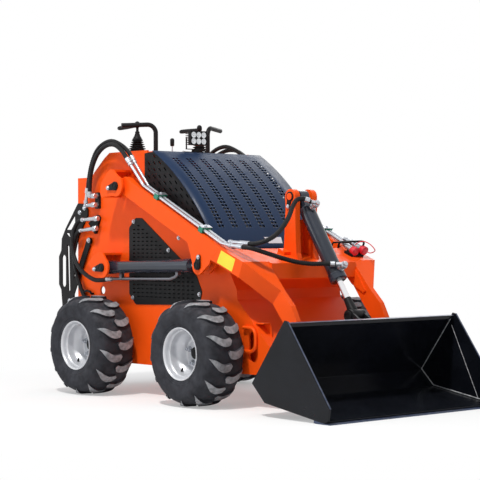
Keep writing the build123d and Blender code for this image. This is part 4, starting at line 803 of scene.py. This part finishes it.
def build_manifolds():
    """Plates on the tower with the fittings that the hoses leave from."""
    plates, fittings = Shape(), Shape()
    for _, side in SIDES:
        out = Vector((0, side, 0))
        for corners in MANIFOLD_PLATES:
            plates.slab([mm(u, side * 360.2, v) for u, v in rounded(corners, 9, 4)], out * 0.0136)
        for x, z, rear, front, slope in MANIFOLD_FITTINGS:
            fittings.turned(mm(x, side * 373, z), out, ((0, 15), (8, 15), (8.5, 11), (25, 11)), 6)
            a = mm(rear, side * MANIFOLD_Y, z + (rear - x) * slope)
            b = mm(front, side * MANIFOLD_Y, z + (front - x) * slope)
            run = (b - a).normalized()
            long = (b - a).length * 1000
            fittings.turned(a, run, ((0, 8.5), (12, 9.5), (13, 13), (25, 13), (26, 9.0), (long * 0.45, 9.0)),
                            18)
            fittings.turned(a, run, ((long * 0.45, 11), (long - 26, 11)), 18)
            fittings.turned(a, run, ((long - 28, 15), (long - 2, 15), (long, 13)), 6)
        for x0, z0, x1, z1 in MANIFOLD_RISERS:
            ends = mm(x0, side * MANIFOLD_Y, z0), mm(x1, side * (MANIFOLD_Y + 1), z1)
            between(fittings, ends, *RISER)
            between(fittings, ends, (), RISER_NUT)
    plates.piece("manifold_plates", [BLACK], "chassis", slot="black_paint")
    fittings.piece("manifold_fittings", [STEEL], "chassis", replaces=("hose_manifolds",))


BEAM_ALONG = Vector((0.901, 0, -0.4337))  # down the arms' rear beams
BEAM_UP = Vector((0.4337, 0, 0.901))
FRONT_ALONG = Vector((0.9296, 0, -0.3687))  # down their front beams
FRONT_UP = Vector((0.3687, 0, 0.9296))
SEAM = (567, 792)  # where the two beams meet, top edge
CLAMPS = (573, 173)  # distances of the tube clamps from the seam
TUBE_REAR_ENDS = (((-184, -TUBE_OUTER, 1235), (-209, -TUBE_OUTER, 1262)),
                  ((-184, -TUBE_INNER, 1247), (-208, -TUBE_INNER, 1274)))
TUBE_REAR_NUT = (((-14, 8.4), (-13, 12.5), (-2, 12.5), (-1, 10), (6, 10), (6.5, 12.6)),
                 ((0, 12.6), (0.5, 11)))
# front ends of the right arm's tubes, then of the left arm's
RIGHT_FRONT_ENDS = (((606, -TUBE_INNER, 816), (738, -TUBE_INNER, 808)),
                    ((638, -TUBE_OUTER, 800), (722, -TUBE_OUTER, 792)))
RIGHT_FRONT_NUT = (((-16, 8.4), (-15, 12.5), (2, 12.5), (3, 10)), ((-1, 13), (0, 12)), ((0, 10), (1, 13)))
LEFT_FRONT_ENDS = (((570, -TUBE_INNER, 833), (618, -TUBE_INNER, 812)),
                   ((596, -TUBE_OUTER, 819), (640, -TUBE_OUTER, 799)))
LEFT_FRONT_NUT = (((0, 8.4), (1, 12.8), (16, 12.8), (17, 10), (22, 10), (23, 13.6)),
                  ((-1, 13.6), (0, 12)))
ARM_PLATE = ((586, 776), (691, 733), (664, 672), (552, 716))
MAST_PIN = (672, 1046)
MAST_FACE = 76.2
MAST_PIN_HEAD = ((0, 25), (4, 25), (5, 22), (5.2, 17), (2.6, 16.4), (2.6, 11), (7.4, 10.6), (7.6, 3))
MAST_KEEPER = ((655, 1040), (690, 1052), (668, 986), (650, 992))


def build_arm_hardware():
    """Tube ends, clamps, rod pins, the blank plate on the right arm and the mast's pin keepers."""
    steel, black, yellow = Shape(), Shape(), Shape()
    for _, side in SIDES:
        out = Vector((0, side, 0))
        steel.bolt(mm(416, side * 468, 742), out, 15, 7)
        black.turned(mm(405, side * 467.6, 700), out, PIN_HEAD, 28)
        for ends in TUBE_REAR_ENDS:
            between(steel, mirrored(ends, side), *TUBE_REAR_NUT)
        for back in CLAMPS:
            spot = mm(SEAM[0], side * CYLINDER_Y, SEAM[1]) - BEAM_ALONG * (back / 1000) + BEAM_UP * 0.0302
            steel.slab([spot + BEAM_ALONG * (p / 1000) + out * (q / 1000)
                        for p, q in ((-15, -33), (15, -33), (15, 33), (-15, 33))], BEAM_UP * 0.003)
            steel.bolt(spot + BEAM_UP * 0.003, BEAM_UP, 12, 6)
    for ends in RIGHT_FRONT_ENDS:
        between(steel, mirrored(ends, -1), *RIGHT_FRONT_NUT)
    for ends in LEFT_FRONT_ENDS:
        between(steel, mirrored(ends, 1), *LEFT_FRONT_NUT)
    yellow.slab([mm(u, -460.1, v) for u, v in rounded(ARM_PLATE, 4, 3)], Vector((0, -0.0008, 0)))
    yellow.piece("arm_plate", [YELLOW], "arms")
    for _, side in SIDES:
        out = Vector((0, side, 0))
        black.turned(mm(MAST_PIN[0], side * MAST_FACE, MAST_PIN[1]), out, MAST_PIN_HEAD, 28)
        black.slab([mm(u, side * MAST_FACE, v) for u, v in rounded(MAST_KEEPER, 8, 4)], out * 0.005)
        steel.bolt(mm(660, side * (MAST_FACE + 5), 996), out, 13, 6)
    steel.piece("arm_fittings", [STEEL], "arms")
    black.piece("arm_pin_heads", [BLACK], "arms")


COUPLER_MID = 375  # y between the two couplers
COUPLERS = (((627, 352, 805), (715, 352, 762)), ((648, 398, 808), (735, 398, 768)))
COUPLER_BODY = ((0, 9), (1, 13), (14, 13), (15, 10.5), (20, 10.5), (21, 16), (44, 16.8), (45, 15.2),
                (52, 15.2), (53, 17), (72, 17))
COUPLER_CAP = ((66, 18.5), (67, 20.5), (76, 20.5), (78, 23.8), (96, 23.2), (98.5, 19), (99, 8))
# foot plate, then a block under each coupler: ends along the arm, half width, middle, height
COUPLER_FEET = ((0, 58, 46, 0, 12), (8, 50, 8, -30, 22), (8, 50, 8, 30, 22))
GUARD_BAR = ((545, 382, 757), (556, 382, 798), (562, 382, 810), (574, 384, 816), (710, 396, 819),
             (724, 398, 817), (728, 398, 810), (718, 398, 788))
GUARD_INNER_BAR = ((552, 334, 790), (558, 334, 806), (568, 334, 813), (686, 334, 813), (698, 334, 801))
CAP_STRAPS = (((690, 372, 800), (716, 373, 814), (752, 375, 818), (795, 376, 802), (826, 377, 776),
               (816, 380, 764), (782, 388, 758), (754, 395, 764)),
              ((594, 376, 756), (606, 372, 744), (630, 368, 741), (652, 362, 744), (668, 356, 756)))


def build_couplers():
    """Two quick couplers with red caps, their wire guard and the caps' straps, on the left arm."""
    shape, guard, cap, straps = Shape(), Shape(), Shape(), Shape()
    for rear, front in COUPLERS:
        run = mm(*front) - mm(*rear)
        shape.turned(mm(*rear), run, COUPLER_BODY, 24)
        cap.turned(mm(*rear), run, COUPLER_CAP, 28)
    shape.index = 1
    low = mm(SEAM[0], COUPLER_MID, SEAM[1]) + FRONT_ALONG * 0.088 + FRONT_UP * 0.0004
    for near, far, half, middle, tall in COUPLER_FEET:
        shape.slab([low + FRONT_ALONG * (p / 1000) + Vector((0, (middle + q) / 1000, 0))
                    for p, q in ((near, -half), (far, -half), (far, half), (near, half))],
                   FRONT_UP * (tall / 1000))
    shape.piece("coupler_bodies", [STEEL, BLACK], "arms", replaces=("quick_couplers",))
    cap.piece("coupler_caps", [RED], "arms")
    guard.tube([mm(*p) for p in GUARD_BAR], 5.5, 12)
    guard.tube([mm(*p) for p in GUARD_INNER_BAR], 4.5, 12)
    guard.piece("coupler_guard", [BLACK], "arms")
    for points in CAP_STRAPS:
        straps.tube(curve_through([mm(*p) for p in points], 5), 2.6, 8)
    straps.piece("coupler_straps", [RED], "arms")


TILT_EYE = (1054, 455)
TILT_ALONG = Vector((0.5429, 0, -0.8398))  # down the tilt cylinder, at rest
TILT_UP = Vector((0.8398, 0, 0.5429))
PORT = ((38, 17), (46, 17), (47, 13), (58, 13), (58.5, 17.5), (60, 18.5), (75, 18.5), (76.5, 17.5),
        (77, 14.5))
TILT_GLAND = ((-0.5, 41), (0, 43.5), (6, 44), (9, 44), (9.5, 42.6), (12, 42.6), (12.5, 44), (36, 44),
              (37.4, 42), (37.6, 17))
LIFT_GLAND = ((0, 33.2), (1, 36), (8, 36.4), (9, 35), (12, 35), (13, 36.4), (45, 36.4), (47.4, 34),
              (47.6, 18.2))
FEED_NUT = ((0, 12), (1, 12.8), (24, 12.8), (25, 10), (30, 10), (31, 13.4), (44, 13.4), (45, 10), (54, 8.6))
ROD_SOCKET = ((0, 16.2), (0.4, 18.4), (4, 19.4), (34, 21.5), (58, 24.5), (74, 26), (80, 22))
ROD_RING = ((0, 18.5), (0.4, 31.6), (2, 32.6), (60, 32.6), (61.6, 31.6), (62, 18.5))
ROD_PIN_HEAD = ((0, 25), (6, 25), (8, 22), (8.4, 16), (5, 15), (5, 6))


def build_cylinder_fittings():
    """Ports, banjo fittings and end rings on the cylinders, and the socket on the tilt rod's end."""
    ports, ends, socket, rod = Shape(), Shape(), Shape(), Shape()
    base, eye = mm(MAST_PIN[0], 0, MAST_PIN[1]), mm(TILT_EYE[0], 0, TILT_EYE[1])
    for along in (0.092, 0.455):
        spot = base + TILT_ALONG * along
        ports.turned(spot, TILT_UP, PORT, 22)
        ports.turned(spot, TILT_UP, ((77, 14.5), (87, 14.5), (89, 12.5)), 6)
    ports.piece("tilt_ports", [STEEL], "tilt_cylinder")
    ends.turned(base + TILT_ALONG * 0.462, TILT_ALONG, TILT_GLAND, 36)
    ends.turned(base + TILT_ALONG * 0.072, TILT_ALONG, ((0, 30), (0.4, 40.2), (6, 40.6), (9, 40.2)), 36)
    ends.piece("tilt_barrel_ends", [CYLINDER_PAINT_AND_SKY_REFLECTION], "tilt_cylinder")
    for name, side in SIDES:
        start, end = mm(-370, side * CYLINDER_Y, 681), mm(405, side * CYLINDER_Y, 700)
        axis = (end - start).normalized()
        rings, nut = Shape(), Shape()
        rings.turned(start + axis * 0.636, axis, LIFT_GLAND, 32)
        rings.turned(start + axis * 0.033, axis, ((0, 30), (0.5, 33.4), (9, 33.6), (10, 33.1)), 32)
        rings.piece("lift_barrel_ends_" + name, [CYLINDER_PAINT_AND_SKY_REFLECTION], "lift_cylinder_" + name)
        start, end = mm(-411, side * CYLINDER_Y, 616), mm(-362, side * CYLINDER_Y, 619)
        nut.turned(start, end - start, FEED_NUT, 18)
        nut.piece("feed_ferrule_" + name, [STEEL], "lift_cylinder_" + name)
    socket.turned(eye - TILT_ALONG * 0.100, TILT_ALONG, ROD_SOCKET, 32)
    socket.turned(eye - Vector((0, 0.031, 0)), Vector((0, 1, 0)), ROD_RING, 36)
    socket.piece("tilt_rod_socket", [BLACK], "tilt_ram")
    for side in (-1, 1):
        rod.turned(mm(TILT_EYE[0], side * 46.2, TILT_EYE[1]), Vector((0, side, 0)), ROD_PIN_HEAD, 28)
    rod.piece("tilt_rod_pin_heads", [BLACK], "bucket_unit")


# ---- hoses ----
HOSE_RADIUS = 11.4
HOSE_RIB = 1.0
HOSE_STEP = 0.0055  # half the pitch of the spiral guard's ribs
# places along each hose's middle, for the right side
ARM_HOSE_HIGH = ((-622, -399, 1112), (-612, -400, 1160), (-586, -401, 1240), (-538, -403, 1312),
                 (-468, -405, 1353), (-385, -407, 1365), (-300, -409, 1339), (-240, -410, 1304),
                 (-207, -411, 1273))
ARM_HOSE_LOW = ((-604, -399, 1090), (-595, -402, 1160), (-560, -409, 1240), (-500, -416, 1304),
                (-420, -424, 1340), (-335, -431, 1342), (-265, -436, 1310), (-208, -439, 1261))
LIFT_HOSE = ((-688, -398, 941), (-722, -400, 926), (-752, -403, 880), (-760, -407, 804), (-735, -411, 733),
             (-683, -415, 676), (-610, -418, 636), (-530, -422, 612), (-462, -425, 611), (-408, -425, 616))
RETURN_HOSE = ((-704, -398, 880), (-735, -396, 862), (-762, -393, 815), (-770, -392, 760), (-758, -391, 690),
               (-742, -386, 630), (-716, -380, 560), (-692, -372, 510), (-676, -362, 478))
TILT_HOSE_HIGH = ((738, -411, 808), (775, -407, 808), (812, -372, 822), (824, -325, 845), (812, -262, 885),
                  (786, -194, 937), (757, -140, 990), (744, -100, 1025), (752, -62, 1034), (776, -28, 1018))
TILT_HOSE_LOW = ((722, -439, 792), (765, -420, 786), (800, -350, 762), (825, -275, 738), (850, -195, 718),
                 (880, -130, 709), (918, -72, 709), (955, -32, 708))
GROMMET = ((0, 20), (3, 20), (6, 17), (8, 12))


# second body of a blended hose, and where it starts to follow it and follows it fully, for the right side
ARM_HIGH_BLEND = ("arms", (-560, -405, 1240), (-207, -411, 1273))
ARM_LOW_BLEND = ("arms", (-540, -410, 1220), (-208, -439, 1261))
LIFT_BLEND = ((-690, -414, 690), (-430, -425, 613))
TILT_HIGH_BLEND = ("tilt_cylinder", (757, -140, 990), (776, -28, 1018))
TILT_LOW_BLEND = ("tilt_cylinder", (850, -195, 718), (955, -32, 708))
FERRULES = (((766, -44, 1026), (788, -12, 1013)), ((944, -42, 708), (976, -12, 707)))
FERRULE = (((-14, 12.6), (-13, 13.4), (10, 13.4), (11, 9)), ((0, 9),))


def hose(name, points, side, body, blend=None):
    """Hose in a spiral guard, whose radius swells and shrinks; with blend given, it is baked in place and rides on
    no body.
    """
    run = evenly(curve_through(mirrored(points, side), 8), HOSE_STEP)
    shape = Shape()
    last = len(run) - 1
    ribs = [0 if k in (0, last) else HOSE_RIB if k % 2 else -HOSE_RIB for k in range(last + 1)]
    shape.tube(run, [HOSE_RADIUS + rib for rib in ribs], 12)
    shape.piece(name, [HOSE], body, crease=80,
                blend=None if blend is None else (blend[0], *mirrored(blend[1:], side)))


def build_hoses():
    ferrules, grommets = Shape(), Shape()
    for name, side in SIDES:
        hose("arm_hose_high_" + name, ARM_HOSE_HIGH, side, "chassis", ARM_HIGH_BLEND)
        hose("arm_hose_low_" + name, ARM_HOSE_LOW, side, "chassis", ARM_LOW_BLEND)
        hose("lift_hose_" + name, LIFT_HOSE, side, "chassis", ("lift_cylinder_" + name, *LIFT_BLEND))
        hose("return_hose_" + name, RETURN_HOSE, side, "chassis")
    hose("tilt_hose_high", TILT_HOSE_HIGH, -1, "arms", TILT_HIGH_BLEND)
    hose("tilt_hose_low", TILT_HOSE_LOW, -1, "arms", TILT_LOW_BLEND)
    for ends in FERRULES:
        between(ferrules, mirrored(ends, -1), *FERRULE)
    ferrules.piece("tilt_hose_ferrules", [STEEL], "tilt_cylinder")
    for _, side in SIDES:
        grommets.turned(mm(-676, side * 360.2, 478), Vector((0, side, 0)), GROMMET, 24)
    grommets.piece("hose_grommets", [PLASTIC], "chassis")


# ---- welds and edges ----
BUCKET_INSIDE = 576.5  # |y| of the beads, half sunk in the side plates' inner faces
# inner corner of the bucket, from the rim down the back and along the floor: x, z
BUCKET_CORNER = ((1174, 437), (965, 157), (1046, 78.5), (1438, 15))


def bead(shape, a, b, radius):
    """Rippled weld bead from a to b."""
    run = evenly([a, b], 0.006)
    radii = [radius * (0.75 + 0.25 * random.random() + (0.2 if k % 2 else 0)) for k in range(len(run))]
    shape.tube(run, radii, 6)


# beads on each arm: x and z of the ends, |y|, radius
ARM_BEADS = ((746, 719, 708, 643, 459, 1.8), (567, 791, 505, 729, 459, 1.8),
             (716, 734.5, 626, 770, 44, 3.0), (716, 734.5, 626, 770, 75, 3.0))
BUCKET_SIDE_EDGE = ((1197.5, 578, 452.2), (1473.4, 578, 72.4), (1473.4, 586, 72.4), (1197.5, 586, 452.2))
BUCKET_TOP_EDGE = ((1170.5, -576, 445.6), (1190.5, -576, 442), (1190.5, 576, 442), (1170.5, 576, 445.6))


def build_welds():
    """Painted beads on the arms, bright ones in the bucket with a painted highlight along a side plate's bend, and
    painted sky reflection on the bucket's edges.
    """
    orange, bright, sky_edge_strips = Shape(), Shape(), Shape()
    for _, side in SIDES:
        for x0, z0, x1, z1, y, radius in ARM_BEADS:
            bead(orange, mm(x0, side * y, z0), mm(x1, side * y, z1), radius)
    orange.piece("arm_welds", [ORANGE], "arms")
    for _, side in SIDES:
        y = side * BUCKET_INSIDE
        for (x0, z0), (x1, z1) in zip(BUCKET_CORNER, BUCKET_CORNER[1:]):
            bead(bright, mm(x0 + 2, y, z0 + 2), mm(x1 + 2, y, z1 + 2), 3.0)
        # thin bright line along the side plate's bend: a painted highlight, drawn as a bead
        bead(bright, mm(1172, side * 576.6, 393), mm(1344, side * 576.6, 36), 1.5)
    for _, side in SIDES:
        # blue strips over the side plates' front edges and the back plate's top edge: painted sky reflection
        sky_edge_strips.slab(mirrored(BUCKET_SIDE_EDGE, -side), Vector((0.0008, 0, 0.0006)))
    sky_edge_strips.slab([mm(*p) for p in BUCKET_TOP_EDGE], Vector((0.0001, 0, 0.0007)))
    sky_edge_strips.piece("bucket_edge_sky_reflection", [EDGE_SKY_REFLECTION_AND_DUST], "bucket_unit")
    bright.piece("bucket_welds_and_bend_highlight", [WELD], "bucket_unit")


build_grilles()
build_hood_sides()
build_hood()
build_interior()
for axle_name in ("front_", "rear_"):
    for side_name, sign in SIDES:
        build_tyre(axle_name + side_name, sign)
        build_rim(axle_name + side_name, sign)
build_joysticks()
build_throttle()
build_lamp()
build_chassis_hardware()
build_manifolds()
build_arm_hardware()
build_couplers()
build_cylinder_fittings()
build_hoses()
build_welds()

# ---- stage ----
CAMERA_AZIMUTH = math.radians(48.82)
CAMERA_PLACE = mm(6424.7, -5445.3, 820.5)
CAMERA_TILT = math.radians(-0.0475)
CAMERA_ROLL = math.radians(-0.1445)
LENS_MM = 116.88
FLOOR_HALF = 60.0
# name, place, target, size, power and colour
LAMPS = (("key", (1586, -3150, 5892), (200, 0, 600), 0.5, 313.0, (1.0, 0.98, 0.95)),
         ("fill", (-3000, -4500, 2400), (0, 0, 600), 3.0, 45.0, (0.92, 0.96, 1.0)),
         ("rim", (-2000, 4500, 3600), (0, 0, 800), 3.0, 60.0, (1.0, 1.0, 1.0)))


def build_camera():
    data = bpy.data.cameras.new("camera")
    data.lens = LENS_MM
    data.sensor_width = 36.0
    camera = placed("camera", data)
    back = Vector((math.sin(CAMERA_AZIMUTH) * math.cos(CAMERA_TILT),
                   -math.cos(CAMERA_AZIMUTH) * math.cos(CAMERA_TILT), math.sin(CAMERA_TILT)))
    turn = back.to_track_quat("Z", "Y").to_matrix().to_4x4()
    camera.matrix_world = Matrix.Translation(CAMERA_PLACE) @ turn @ Matrix.Rotation(CAMERA_ROLL, 4, "Z")
    bpy.context.scene.camera = camera


def area_light(name, place, target, size, power, colour):
    data = bpy.data.lights.new(name, "AREA")
    data.shape = "DISK"
    data.size = size
    data.energy = power
    data.color = colour
    light = placed(name, data)
    light.location = mm(*place)
    light.rotation_euler = (mm(*target) - mm(*place)).to_track_quat("-Z", "Y").to_euler()


def build_stage():
    """Pale floor that turns to plain white away from the machine, a white backdrop, and three lamps."""
    mesh = bpy.data.meshes.new("floor")
    mesh.from_pydata([(x * FLOOR_HALF, y * FLOOR_HALF, 0) for x, y in ((-1, -1), (1, -1), (1, 1), (-1, 1))],
                     [], [(0, 1, 2, 3)])
    floor = placed("floor", mesh)
    material, graph = new_material("pale_floor")
    shader = graph.nodes["Principled BSDF"]
    tone = graph.mixed(graph.noise(3.0), (0.90, 0.90, 0.90), (0.94, 0.94, 0.94))
    graph.fill(shader, {"Roughness": 0.95, "Specular IOR Level": 0.0, "Base Color": tone})
    where = graph.node("TexCoord", output="Object")
    far = graph.ranged(graph.node("VectorMath", {0: where}, "Value", operation="LENGTH"), 0.35, 1.0, 1.0, 2.4)
    graph.shown(graph.maths("MULTIPLY", far, graph.seen_directly()), shader.outputs["BSDF"],
                graph.node("Emission", {"Strength": 1.0}), "Material Output")
    floor.data.materials.append(material)
    world = bpy.data.worlds.new("studio")
    world.use_nodes = True
    bpy.context.scene.world = world
    graph = Graph(world.node_tree)
    ambient = graph.nodes["Background"]
    graph.fill(ambient, {"Color": (0.92, 0.96, 1.0, 1.0), "Strength": 0.45})
    backdrop = graph.node("Background", {"Color": (1.0, 1.0, 1.0, 1.0), "Strength": 1.0})
    graph.shown(graph.seen_directly(), ambient.outputs["Background"], backdrop, "World Output")
    for lamp in LAMPS:
        area_light(*lamp)
    bpy.context.scene.view_settings.view_transform = "Standard"


build_camera()
build_stage()
